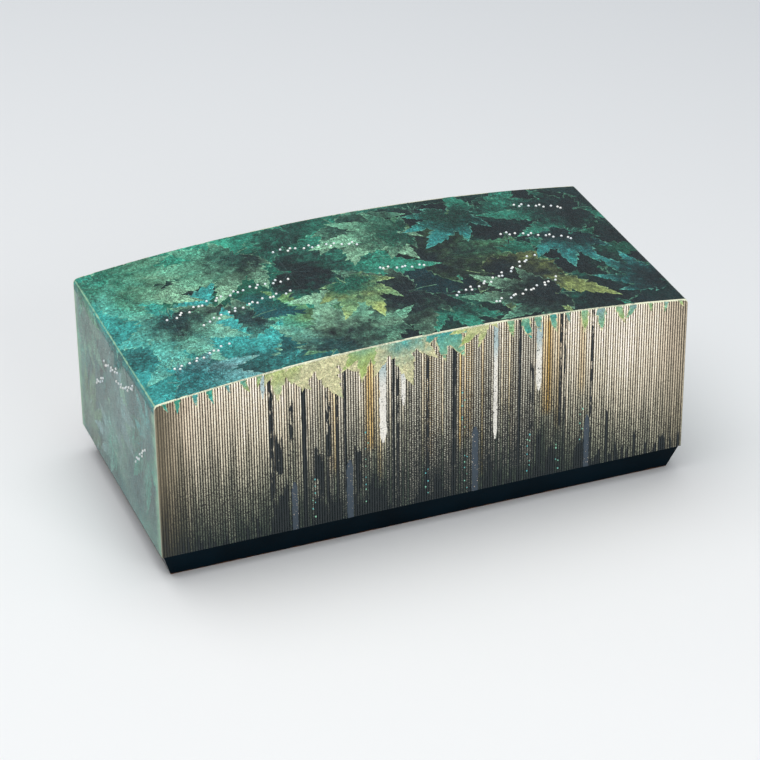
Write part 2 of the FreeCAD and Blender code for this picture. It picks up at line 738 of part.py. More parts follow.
def water_dropper():
    vessel = new_body("dropper_vessel")
    outline = centred("dropper_side / 2", "dropper_side / 2")
    pad(vessel, loops(vessel, "XY_Plane", outline), "dropper_height")
    inside = centred("dropper_side / 2 - dropper_wall", "dropper_side / 2 - dropper_wall")
    cut(vessel, loops(vessel, "XY_Plane", inside, lift="dropper_height"), "dropper_height - dropper_wall")
    inner = number("dropper_side / 2 - dropper_wall")
    soften(vessel, "dropper_corner - dropper_wall",
           lambda ends: upright(ends) and same(abs(ends[0].x), inner))
    outer = number("dropper_side / 2")
    soften(vessel, "dropper_corner", lambda ends: upright(ends) and same(abs(ends[0].x), outer))

    cover = new_body("dropper_cover")
    pad(cover, loops(cover, "XY_Plane", outline), "dropper_wall")
    soften(cover, "dropper_corner", upright)
    holes = [("0", "0", "air_hole_radius"), ("spout_place", "spout_place", "spout_bore_radius")]
    cut(cover, circles(cover, "XY_Plane", *holes), middle=True)
    outside = number("dropper_side / 2 - dropper_corner")
    top = number("dropper_wall")

    def top_rim(ends):
        reach = [max(abs(end.x), abs(end.y)) > outside and same(end.z, top) for end in ends]
        return len(ends) == 2 and all(reach)

    soften(cover, "cover_round", top_rim)

    spout = new_body("dropper_spout")
    wall = [
        ("0", "spout_bore_radius"), ("0", "spout_radius"), ("spout_neck", "spout_tip_radius"),
        ("spout_height", "spout_tip_radius"), ("spout_height", "spout_bore_radius"),
    ]
    turn(spout, loops(spout, "XZ_Plane", wall))
    spout.Placement = FreeCAD.Placement(FreeCAD.Vector(), FreeCAD.Rotation(FreeCAD.Vector(0, 1, 0), -90))
    place(vessel, "dropper_middle", "back_bay_middle", "tray_floor")
    place(cover, "dropper_middle", "back_bay_middle", "tray_floor + dropper_height")
    place(spout, "dropper_middle + spout_place", "back_bay_middle + spout_place", "tray_floor + cover_top")


# ---------------------------------------------------------------- brushes

def brush_parts(brush):
    """Handle, end button, tuft and cap, each turned around the brush's own line."""
    radius = f"{brush}_handle_radius"
    y = f"{brush}_brush_y"
    start = "handle_start"
    shoulder = f"{brush}_shoulder"
    end = f"{brush}_handle_length"

    handle = new_body(f"{brush}_brush_handle")
    turn(handle, loops(handle, "XZ_Plane", [
        ("0", "0"), ("0", radius), (shoulder, radius), (shoulder, f"{brush}_spigot"),
        (end, f"{brush}_spigot"), (end, "0")]))
    place(handle, start, y, "brush_level")

    button = new_body(f"{brush}_brush_button")
    turn(button, loops(button, "XZ_Plane", [
        ("0", "0", "xy", (radius, "0", "right")), (radius, radius, "x", None),
        ("button_length", radius), ("button_length", "0")]))
    place(button, "brush_left", y, "brush_level")

    tuft = new_body(f"{brush}_brush_tuft")
    turn(tuft, loops(tuft, "XZ_Plane", [
        ("0", "0"), ("0", f"{brush}_tuft", "xy", ("0", f"-{brush}_ogive", "right")),
        (f"{brush}_tuft_length", "0", "x", None)]))
    place(tuft, f"{start} + {end}", y, "brush_level")

    cap = new_body(f"{brush}_brush_cap")
    turn(cap, loops(cap, "XZ_Plane", [
        ("0", f"{brush}_cap_bore"), ("0", f"{brush}_cap_radius"),
        (f"{brush}_cap_length", f"{brush}_cap_radius"), (f"{brush}_cap_length", "0"),
        (f"{brush}_cap_room", "0"), (f"{brush}_cap_room", f"{brush}_cap_bore")]))
    place(cap, f"{start} + {shoulder} + cap_gap", y, "brush_level")


# ---------------------------------------------------------------- the whole box

for rail_side in SIDES:
    plinth_rail(rail_side)
base_board()
box_walls()
tray_ledges()
tray()
inkstone()
ink_stick()
water_dropper()
for brush in ("large", "small"):
    brush_parts(brush)
lid_boards()
lid_top_panel()
ribbed_facings()
lid_dots()

document.recompute()
for item in document.Objects:
    if "Invalid" in item.State or "Error" in item.State:
        raise RuntimeError(f"{item.Name} is not right: {item.State}")
for item in subparts:
    if item.Shape.isNull() or not item.Shape.isValid() or not item.Shape.Solids:
        raise RuntimeError(f"{item.Label} has no valid solid")

os.makedirs("parts", exist_ok=True)
for item in subparts:
    item.Shape.exportStep(f"parts/{item.Label}.step")
    box = item.Shape.BoundBox
    print(f"{item.Label:22} solids {len(item.Shape.Solids):3}  volume {item.Shape.Volume:10.1f}"
          f"  x {box.XMin:8.2f} {box.XMax:8.2f}  y {box.YMin:7.2f} {box.YMax:7.2f}"
          f"  z {box.ZMin:7.2f} {box.ZMax:7.2f}")
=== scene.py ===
import json
import math

import bmesh
import bpy
import numpy as np
from bpy.props import FloatProperty, FloatVectorProperty, IntProperty, PointerProperty
from mathutils import Matrix, Vector
from mathutils.geometry import delaunay_2d_cdt


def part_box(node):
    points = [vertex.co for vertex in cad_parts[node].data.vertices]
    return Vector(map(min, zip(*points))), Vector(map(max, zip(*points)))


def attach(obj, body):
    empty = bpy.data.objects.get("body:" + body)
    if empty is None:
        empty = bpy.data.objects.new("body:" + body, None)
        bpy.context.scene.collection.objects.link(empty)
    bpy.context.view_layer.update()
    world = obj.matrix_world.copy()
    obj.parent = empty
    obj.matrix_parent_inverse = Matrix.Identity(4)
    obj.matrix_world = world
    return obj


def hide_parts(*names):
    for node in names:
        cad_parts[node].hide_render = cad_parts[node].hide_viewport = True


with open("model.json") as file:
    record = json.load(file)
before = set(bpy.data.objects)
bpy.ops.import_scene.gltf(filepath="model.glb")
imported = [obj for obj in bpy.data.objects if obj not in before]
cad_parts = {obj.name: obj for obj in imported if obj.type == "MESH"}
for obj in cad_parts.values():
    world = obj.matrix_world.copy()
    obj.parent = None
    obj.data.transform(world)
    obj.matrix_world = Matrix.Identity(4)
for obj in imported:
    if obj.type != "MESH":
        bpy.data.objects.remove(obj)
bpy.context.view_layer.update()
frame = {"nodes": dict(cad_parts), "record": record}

bl_info = {
    "name": "Lacquered writing box",
    "version": (1, 0, 0),
    "blender": (4, 5, 0),
    "location": "3D View > Sidebar > Writing box",
    "description": "Dresses a vaulted writing box in graded lacquer, ribbed bronze and inlay",
    "category": "Object",
}

# Lengths are in metres. X runs along the box, Y from its ribbed front to its back, Z up.
MM = 0.001


def paint(red, green, blue):
    """A display colour, 0 to 255, as the linear colour that a shader takes."""
    shares = [value / 255 for value in (red, green, blue)]
    return tuple(s / 12.92 if s <= 0.04045 else ((s + 0.055) / 1.055) ** 2.4 for s in shares)


def colour_setting(name, description, *display):
    return FloatVectorProperty(name=name, description=description, subtype="COLOR", size=3,
                               min=0, max=1, default=paint(*display))


def length_setting(name, description, default):
    return FloatProperty(name=name, description=description, subtype="DISTANCE", unit="LENGTH",
                         default=default, precision=5)


# ---------------------------------------------------------------- what a user may change

class StageSettings(bpy.types.PropertyGroup):
    """Floor, light and camera."""
    camera_place: FloatVectorProperty(
        name="Camera", description="Where the camera stands", subtype="TRANSLATION", unit="LENGTH",
        default=(-0.51022, -1.33479, 0.88648))
    camera_aim: FloatVectorProperty(
        name="Aim", description="What the camera looks at", subtype="TRANSLATION", unit="LENGTH",
        default=(-0.0002, -0.00205, 0.05161))
    camera_roll: FloatProperty(
        name="Roll", description="Turn of the camera about its view",
        subtype="ANGLE", unit="ROTATION",
        default=math.radians(-0.547))
    lens: FloatProperty(name="Lens", description="Focal length in millimetres", default=142.53)
    # Near and far floor: the floor greys away from the camera as a painted falloff of the light
    floor_near: colour_setting("Near floor", "Colour of the floor in front", 232, 233, 233)
    floor_far: colour_setting("Far floor", "Colour of the floor behind", 205, 208, 211)
    overhead_power: FloatProperty(
        name="Overhead", description="Power of the softbox above, in watts", default=38.8)
    front_power: FloatProperty(
        name="Front", description="Power of the fill in front, in watts", default=19)
    haze: FloatProperty(
        name="Surroundings", description="Brightness of the room around", default=0.43)


class LacquerTints(bpy.types.PropertyGroup):
    """Colours of the graded lacquer."""
    night: colour_setting("Night", "Darkest ground", 20, 36, 40)
    deep: colour_setting("Deep", "Blue-green shade", 24, 76, 84)
    pine: colour_setting("Pine", "Deep green", 34, 112, 88)
    teal: colour_setting("Teal", "Middle green", 66, 178, 148)
    turquoise: colour_setting("Turquoise", "Bright blue-green", 72, 190, 186)
    sage: colour_setting("Sage", "Grey-green light", 162, 220, 180)
    mist: colour_setting("Mist", "Blue-grey light", 158, 196, 200)
    olive: colour_setting("Olive", "Yellow-green", 120, 168, 106)
    moss: colour_setting("Moss", "Dull green", 62, 86, 52)
    lime: colour_setting("Lime", "Pale yellow-green", 206, 228, 136)
    cream: colour_setting("Cream", "Palest yellow", 255, 248, 196)
    # Rim: a painted highlight along the rounded edges of the lid, where the light catches them
    rim: colour_setting("Rim", "Worn edge of the lid", 232, 234, 204)


class LidSettings(bpy.types.PropertyGroup):
    """Shape of the lid's skin."""
    vault_rise: length_setting("Vault", "Crown of the lid above its corners", 10 * MM)
    end_round: length_setting("End rounding", "Rounding where the top meets the ends", 2.6 * MM)
    side_round: length_setting("Side rounding", "Rounding where the top meets the facings", 1 * MM)
    leaf_lift: length_setting(
        "Leaf lift", "Lacquer of the lowest leaf above the ground", 0.006 * MM)
    leaf_step: length_setting("Leaf step", "Each later leaf above the one before", 0.0022 * MM)
    leaf_grid: length_setting("Leaf grid", "Spacing of the points inside a leaf", 3.2 * MM)
    dot_radius: length_setting("Dot radius", "Radius of a shell dot", 0.76 * MM)
    dot_dome: length_setting("Dot dome", "Rise of a shell dot above the lacquer", 0.68 * MM)


class FacingSettings(bpy.types.PropertyGroup):
    """Ribs and colours of the facings."""
    rib_pitch: length_setting("Pitch", "From one rib to the next", 1.415 * MM)
    rib_relief: length_setting("Relief", "Groove between two ribs", 0.45 * MM)
    rib_steps: IntProperty(name="Steps", description="Flat steps around one rib", default=8, min=4)
    rows: IntProperty(name="Rows", description="Steps up the facing", default=24, min=8)
    # Crest and groove: powder on the crowns of the ribs, lacquer in the grooves; their contrast
    # also paints the highlight on the crowns and the shade in the grooves
    crest: colour_setting("Crest", "Champagne metal powder on the ribs", 253, 234, 209)
    groove: colour_setting("Groove", "Lacquer between the ribs", 46, 36, 27)
    shade: colour_setting("Shade", "Grey-green towards the foot", 122, 142, 120)
    ochre: colour_setting("Ochre", "Golden ribs", 206, 166, 80)
    dull: colour_setting("Dull", "Powder left in the grooves near the corners", 112, 104, 86)
    silver: colour_setting("Silver", "Pale dotted ribs", 206, 204, 188)
    bare: colour_setting("Bare", "Dark lacquer where no powder lies", 16, 30, 34)
    eggshell: colour_setting("Eggshell", "Cream inlay", 250, 246, 234)
    slate_blue: colour_setting("Slate blue", "Smooth blue-grey inlay", 42, 60, 74)


class InsideSettings(bpy.types.PropertyGroup):
    """Finishes of the box, the tray and the writing tools."""
    black: colour_setting("Black", "Lacquer of the box and tray", 14, 14, 16)
    gold: colour_setting("Gold", "Sprinkled flakes", 244, 204, 122)
    undercoat: colour_setting("Undercoat", "Brown lacquer where edges are rubbed", 96, 48, 28)
    slate: colour_setting("Slate", "Honed stone", 70, 72, 76)
    ink: colour_setting("Ink", "Pressed ink", 24, 24, 27)
    bronze: colour_setting("Bronze", "Brown patina", 112, 72, 44)
    verdigris: colour_setting("Verdigris", "Green patina in low places", 84, 116, 92)
    bamboo: colour_setting("Bamboo", "Polished bamboo", 196, 154, 96)
    cypress: colour_setting("Cypress", "Bare wood of the keys", 206, 170, 120)
    horn: colour_setting("Horn", "Dark horn of the buttons", 48, 34, 26)
    hair: colour_setting("Hair", "Hair of the brushes", 206, 182, 142)


SETTINGS = {
    "box_stage": StageSettings, "box_tints": LacquerTints, "box_lid": LidSettings,
    "box_facing": FacingSettings, "box_inside": InsideSettings,
}


# ---------------------------------------------------------------- sizes from the frame

PANEL_LOW, PANEL_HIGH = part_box("lid_top_panel")
FACE_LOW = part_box("front_ribbed_facing")[0]
HALF_LENGTH, TOP_HALF_DEPTH, CROWN = PANEL_HIGH
FACE_DEPTH = -FACE_LOW.y
FOOT_LEVEL = FACE_LOW.z
QUARTER = math.pi / 2

# Flat steps around the rounding at the ends and at the sides.
END_FOLDS = 8
SIDE_FOLDS = 5

# Seeds of the random draws, so that every run gives the same box.
SEEDS = {
    "top_leaves": 7, "front_fringe": 11, "back_fringe": 12, "left_end_leaves": 13,
    "right_end_leaves": 14, "front_ribs": 41, "back_ribs": 43, "front_inlays": 51,
    "back_inlays": 53,
}


class Vault:
    """The outline of the lid, seen from the front: an arc with a rounded corner at each end."""

    def __init__(self):
        lid = bpy.context.scene.box_lid
        self.round = lid.end_round
        self.side_round = lid.side_round
        self.radius = (HALF_LENGTH ** 2 + lid.vault_rise ** 2) / (2 * lid.vault_rise)
        self.centre = CROWN - self.radius
        self.corner_x = HALF_LENGTH - self.round
        self.lean = math.asin(self.corner_x / (self.radius - self.round))
        self.corner_z = self.centre + (self.radius - self.round) * math.cos(self.lean)
        self.edge_x = self.corner_x + self.round * math.sin(self.lean)
        self.end_arc = self.round * (QUARTER - self.lean)
        self.side_arc = self.side_round * QUARTER

    def level(self, x):
        """Height of the outline over x, with the rounded corners."""
        x = np.abs(np.asarray(x, float))
        top = self.centre + np.sqrt(self.radius ** 2 - np.minimum(x, self.edge_x) ** 2)
        past = np.clip(x - self.corner_x, 0, self.round)
        corner = self.corner_z + np.sqrt(np.maximum(self.round ** 2 - past ** 2, 0))
        return np.where(x <= self.edge_x, top, corner)

    def height(self, x, share):
        """Height over x at a share of the facing, from its foot to the rounding of the side."""
        return FOOT_LEVEL + share * (self.level(x) - self.side_round - FOOT_LEVEL)

    def wrap(self, x, y, lift):
        """Bend a flat plan over the lid: past the top it goes down the ends and the sides."""
        over_end = np.maximum(np.abs(x) - self.edge_x, 0)
        over_side = np.maximum(np.abs(y) - TOP_HALF_DEPTH, 0)
        inner_x = np.clip(x, -self.edge_x, self.edge_x)
        slope = np.arcsin(inner_x / self.radius)
        crest = self.centre + np.sqrt(self.radius ** 2 - inner_x ** 2)
        top = np.stack([inner_x + lift * np.sin(slope), y, crest + lift * np.cos(slope)], -1)

        turn = self.lean + np.minimum(over_end / self.round, QUARTER - self.lean)
        out, down = self.round + lift, np.maximum(over_end - self.end_arc, 0)
        end = np.stack([np.sign(x) * (self.corner_x + out * np.sin(turn)), y,
                        self.corner_z + out * np.cos(turn) - down], -1)

        turn = np.minimum(over_side / self.side_round, QUARTER)
        out, down = self.side_round + lift, np.maximum(over_side - self.side_arc, 0)
        side = np.stack([x, np.sign(y) * (TOP_HALF_DEPTH + out * np.sin(turn)),
                         self.level(x) - self.side_round + out * np.cos(turn) - down], -1)
        return np.where((over_end > 0)[:, None], end, np.where((over_side > 0)[:, None], side, top))


# ---------------------------------------------------------------- mesh helpers

def new_piece(name, points, faces, body, slot, finish, replaced=None, smooth_under=40):
    """A mesh piece in the row frame, riding on a body, in place of a CAD node if one is named."""
    mesh = bpy.data.meshes.new(name)
    mesh.from_pydata([tuple(p) for p in points], [], [tuple(f) for f in faces])
    mesh.validate()
    mesh.update()
    mesh.shade_smooth()
    mesh.set_sharp_from_angle(angle=math.radians(smooth_under))
    mesh.materials.append(bpy.data.materials[finish])
    piece = bpy.data.objects.new(name, mesh)
    bpy.context.scene.collection.objects.link(piece)
    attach(piece, body)
    if replaced:
        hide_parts(replaced)
    return piece


def give(piece, **marks):
    """Store 1, 3 or 4 values for each point of a piece, for its finish to read."""
    kinds = {1: ("FLOAT", "value"), 3: ("FLOAT_VECTOR", "vector"), 4: ("FLOAT_COLOR", "color")}
    for name, values in marks.items():
        values = np.asarray(values, np.float32).ravel()
        kind, field = kinds[values.size // len(piece.data.vertices)]
        piece.data.attributes.new(name, kind, "POINT").data.foreach_set(field, values)


def dress(finish, *nodes):
    """Give CAD nodes a finish."""
    for name in nodes:
        for slot in frame["nodes"][name].material_slots:
            slot.material = bpy.data.materials[finish]


def closed_grid(count, around):
    """Faces of rings of points joined into a tube, with both ends filled."""
    faces = [(start + a, start + b, start + around + b, start + around + a)
             for start in range(0, (count - 1) * around, around)
             for a, b in zip(range(around), [*range(1, around), 0])]
    return faces + [tuple(reversed(range(around))),
                    tuple(range((count - 1) * around, count * around))]


def join(parts):
    """Several sets of points and faces as one."""
    points, faces = [], []
    for part_points, part_faces in parts:
        faces += [[len(points) + index for index in face] for face in part_faces]
        points += list(part_points)
    return points, faces


def arc(x, z, radius, turns):
    """Points of an arc about (x, z), for turns from upright."""
    return [(x + radius * math.sin(turn), z + radius * math.cos(turn)) for turn in turns]


# ---------------------------------------------------------------- shader helpers

def arithmetic(operation, swapped=False):
    """A method that adds a Math node for a signal and another value."""
    def method(self, other):
        return self.desk.math(operation, *((other, self) if swapped else (self, other)))
    return method


class Signal:
    """What leaves a node: a value, a colour or a vector. Sums with it add nodes to its desk."""

    def __init__(self, desk, socket):
        self.desk = desk
        self.socket = socket

    __add__ = __radd__ = arithmetic("ADD")
    __mul__ = __rmul__ = arithmetic("MULTIPLY")
    __sub__ = arithmetic("SUBTRACT")
    __rsub__ = arithmetic("SUBTRACT", swapped=True)
    __truediv__ = arithmetic("DIVIDE")
    __pow__ = arithmetic("POWER")
    __lt__ = arithmetic("LESS_THAN")
    __gt__ = arithmetic("GREATER_THAN")
    larger = arithmetic("MAXIMUM")

    def __abs__(self):
        return self.desk.math("ABSOLUTE", self)

    def fade(self, low, high, to_low=0, to_high=1, kind="SMOOTHSTEP"):
        """The value from low to high becomes to_low to to_high, and stays there past them."""
        feeds = {"Value": self, "From Min": low, "From Max": high,
                 "To Min": to_low, "To Max": to_high}
        return self.desk.node("ShaderNodeMapRange", feeds, interpolation_type=kind)

    def ramp(self, low, high, to_low, to_high):
        """Like fade, in a straight line."""
        return self.fade(low, high, to_low, to_high, "LINEAR")

    def between(self, to_low=0, to_high=1, kind="SMOOTHSTEP"):
        """A noise, most of which lies from 0.3 to 0.7, as to_low to to_high."""
        return self.fade(0.3, 0.7, to_low, to_high, kind)

    def sway(self, reach):
        """A noise that moves something to and fro, in a straight line."""
        return self.between(-reach, reach, "LINEAR")

    def toward(self, other, share):
        """This colour mixed with a share of another."""
        return self.desk.mix(share, self, other)

    def covered(self, *layers):
        """This colour under layers, each a colour and its share."""
        colour = self
        for other, share in layers:
            colour = colour.toward(other, share)
        return colour

    def vector(self, operation, other, output="Vector"):
        return self.desk.node("ShaderNodeVectorMath", {0: self, 1: other}, output,
                              operation=operation)

    def stretched(self, *factors):
        return self.vector("MULTIPLY", factors)

    def dot(self, other):
        return self.vector("DOT_PRODUCT", other, "Value")

    def split(self):
        return self.desk.node("ShaderNodeSeparateXYZ", {0: self}, (0, 1, 2))

    def noise(self, scale, detail=2, roughness=0.5, distortion=0, start=None):
        """Noise over a place, from another start if one is given. Three scales draw it out."""
        place = self.vector("ADD", start) if start else self
        if isinstance(scale, tuple):
            place, scale = place.stretched(*scale), 1
        feeds = {"Vector": place, "Scale": scale, "Detail": detail, "Roughness": roughness,
                 "Distortion": distortion}
        return self.desk.node("ShaderNodeTexNoise", feeds)

    def cracks(self, scale):
        """How far a place is from the next crack of a crackle."""
        return self.desk.node("ShaderNodeTexVoronoi", {"Vector": self, "Scale": scale}, "Distance",
                              feature="DISTANCE_TO_EDGE")


class Desk:
    """Adds nodes to one shader tree and wires them."""

    def __init__(self, tree):
        self.tree = tree

    def feed(self, sockets, values):
        """Wire signals to sockets, or set the sockets to values."""
        for key, value in values.items():
            if isinstance(value, Signal):
                self.tree.links.new(value.socket, sockets[key])
            else:
                colour = sockets[key].type == "RGBA"
                sockets[key].default_value = (*value, 1) if colour else value

    def fill(self, sockets, **values):
        """Feed sockets by their names, with _ for a space."""
        self.feed(sockets, {name.replace("_", " "): value for name, value in values.items()})

    def node(self, kind, feeds, output=0, **settings):
        """The signal from one output of a new node, or from each of several."""
        node = self.tree.nodes.new(kind)
        for name, value in settings.items():
            setattr(node, name, value)
        self.feed(node.inputs, feeds)
        if isinstance(output, tuple):
            return [Signal(self, node.outputs[key]) for key in output]
        return Signal(self, node.outputs[output])

    def math(self, operation, *values):
        return self.node("ShaderNodeMath", dict(enumerate(values)), operation=operation)

    def mix(self, share, first, second, blend="MIX"):
        """The first colour mixed with a share of the second."""
        return self.node("ShaderNodeMix", {0: share, 6: first, 7: second}, 2,
                         data_type="RGBA", blend_type=blend)

    def lit(self, colour, level):
        """A colour made lighter or darker."""
        grey = self.node("ShaderNodeCombineXYZ", dict.fromkeys((0, 1, 2), level))
        return self.mix(1.0, colour, grey, "MULTIPLY")

    def place(self):
        return self.node("ShaderNodeTexCoord", {}, "Object")

    def stored(self, name, output="Fac"):
        """What give stored on the piece."""
        return self.node("ShaderNodeAttribute", {}, output, attribute_name=name)

    def effect(self, name, output="Mask", **feeds):
        """A shared effect at work."""
        return self.node("ShaderNodeGroup", feeds, output, node_tree=bpy.data.node_groups[name])

    def bump(self, height, distance, strength=1.0):
        feeds = {"Height": height, "Distance": distance, "Strength": strength}
        return self.node("ShaderNodeBump", feeds)


def new_effect(name, inputs, outputs):
    """A shader node group: its desk, a signal for each input and the sockets of its outputs."""
    tree = bpy.data.node_groups.new(name, "ShaderNodeTree")
    kinds = {"value": "NodeSocketFloat", "colour": "NodeSocketColor", "vector": "NodeSocketVector"}
    for side, sockets in (("INPUT", inputs), ("OUTPUT", outputs)):
        for label, kind in sockets.items():
            tree.interface.new_socket(label, in_out=side, socket_type=kinds[kind])
    desk = Desk(tree)
    given = tree.nodes.new("NodeGroupInput").outputs
    result = tree.nodes.new("NodeGroupOutput").inputs
    return desk, [Signal(desk, given[label]) for label in inputs], result


def new_finish(name, **values):
    """The desk of a new material and the sockets of its Principled BSDF, with values on some."""
    material = bpy.data.materials.new(name)
    material.use_nodes = True
    desk = Desk(material.node_tree)
    shader = material.node_tree.nodes["Principled BSDF"].inputs
    desk.fill(shader, **values)
    return desk, shader


# ---------------------------------------------------------------- shared effects

def sponged_lacquer():
    """Fine mottling of graded lacquer: lighter and darker flecks, thin dark strokes and painted
    glints along its creases.
    """
    desk, (place, colour, dark, strength), result = new_effect(
        "sponged_lacquer",
        {"Place": "vector", "Colour": "colour", "Dark": "colour", "Strength": "value"},
        {"Colour": "colour", "Height": "value"})
    fleck = place.noise(620, 4, 0.68)
    blot = place.noise(150, 5, 0.7)
    patch = place.noise(40, 3, 0.6)
    wrinkle = place.stretched(1, 0.55, 1).noise(420, 3, 0.6, 1.6)
    ridge = abs(wrinkle - 0.5)
    light = fleck.ramp(0.32, 0.7, 0.42, 1.65)
    cloud = blot.fade(0.36, 0.64, 0.76, 1.24) * patch.between(0.8, 1.16)
    # Painted highlight: light flecks along the creases, as glints of light on the wrinkles
    crease = place.stretched(0.6, 1.3, 1).noise(560, 3, 0.62, 1.2)
    painted_glint = crease.fade(0.57, 0.65, 0, 0.8) * strength
    pit = place.noise(480).fade(0.64, 0.72)
    strokes = ridge.fade(0, 0.05, 1, 0).larger(pit) * patch.fade(0.36, 0.6) * (strength * 0.8)
    lit = desk.lit(colour, 1 + (light * cloud - 1) * strength + painted_glint)
    desk.fill(result, Colour=lit.toward(dark, strokes),
              Height=fleck * 0.6 + ridge.fade(0, 0.12, 0, 0.5))


def worn_edge():
    """A mask that is 1 on the edges of a solid piece, broken up like real rubbing."""
    desk, (place, width), result = new_effect(
        "worn_edge", {"Place": "vector", "Width": "value"}, {"Mask": "value"})
    rounded = desk.node("ShaderNodeBevel", {"Radius": width}, samples=6)
    turn = 1 - rounded.dot(desk.node("ShaderNodeNewGeometry", {}, "Normal"))
    rub = place.noise(300, 4, 0.6).fade(0.35, 0.65, 0.35, 1)
    desk.fill(result, Mask=turn.fade(0.02, 0.22) * rub)


def sprinkled_gold():
    """Sparse gold flakes sprinkled into lacquer."""
    desk, (place, amount), result = new_effect(
        "sprinkled_gold", {"Place": "vector", "Amount": "value"}, {"Mask": "value"})
    distance, random = desk.node("ShaderNodeTexVoronoi", {"Vector": place, "Scale": 1250},
                                 ("Distance", "Color"))
    chance, size, _ = desk.node("ShaderNodeSeparateColor", {0: random}, (0, 1, 2))
    desk.fill(result, Mask=(chance < amount) * (distance < size.ramp(0, 1, 0.14, 0.3)))


def leaf_veins():
    """Midribs and side veins of a lobed leaf, and painted shade in the creases between its lobes,
    from its own flat coordinates in metres.
    """
    desk, (leaf,), result = new_effect(
        "leaf_veins", {"Leaf": "vector"}, {"Vein": "value", "Shade": "value"})
    x, y, _ = leaf.split()
    reach = desk.node("ShaderNodeVectorMath", {0: leaf.stretched(1, 1, 0)}, "Value",
                      operation="LENGTH")
    angle = desk.math("ARCTAN2", y, x)
    aside = angle - desk.math("ROUND", angle / LOBE_SPACING) * LOBE_SPACING
    across = abs(reach * desk.math("SINE", aside))
    along = reach * desk.math("COSINE", aside)
    midrib = across.fade(0.12 * MM, 0.5 * MM, 1, 0)
    from_vein = desk.math("PINGPONG", along - across * 1.25, 1.7 * MM)
    side_veins = from_vein.fade(0, 0.4 * MM, 1, 0) * 0.45
    # Painted shade in the creases between the lobes
    crease = abs(aside).fade(LOBE_SPACING * 0.5, LOBE_SPACING * 0.28, 1, 0)
    desk.fill(result, Vein=midrib.larger(side_veins),
              Shade=crease * reach.fade(10 * MM, 30 * MM, 0.3, 1))


# ---------------------------------------------------------------- finishes of the lid

def leaf_colours(desk, place, cloud, hanging, tints):
    """A leaf's colour, that of its tip, and how near each point is to its tip."""
    leaf = desk.stored("leaf_place", "Vector")
    level = leaf.split()[2] + cloud.sway(0.12) + place.noise(190, 3).sway(0.1)
    other = place.noise(30, start=(0.4, 0.9, 0.2))
    tip = desk.stored("leaf_tip", "Color").toward(tints.teal, other.fade(0.5, 0.68, 0, 0.5))
    vein, shade = desk.effect("leaf_veins", ("Vein", "Shade"), Leaf=leaf)
    colour = desk.stored("leaf_heart", "Color").covered(
        (tip, level.fade(0.22, 0.84)),
        (tints.mist, vein * 0.07),
        # Painted shade: night in the creases between the lobes, less on the fringe
        (tints.night, shade * hanging.fade(0, 1, 0.55, 0.1)),
        (tints.cream, hanging * desk.stored("margin").fade(0.72, 0.94, 0, 0.9)),
        (tints.olive, hanging * place.cracks(420).fade(0.02, 0.12, 0.24, 0)))
    return colour, tip, level


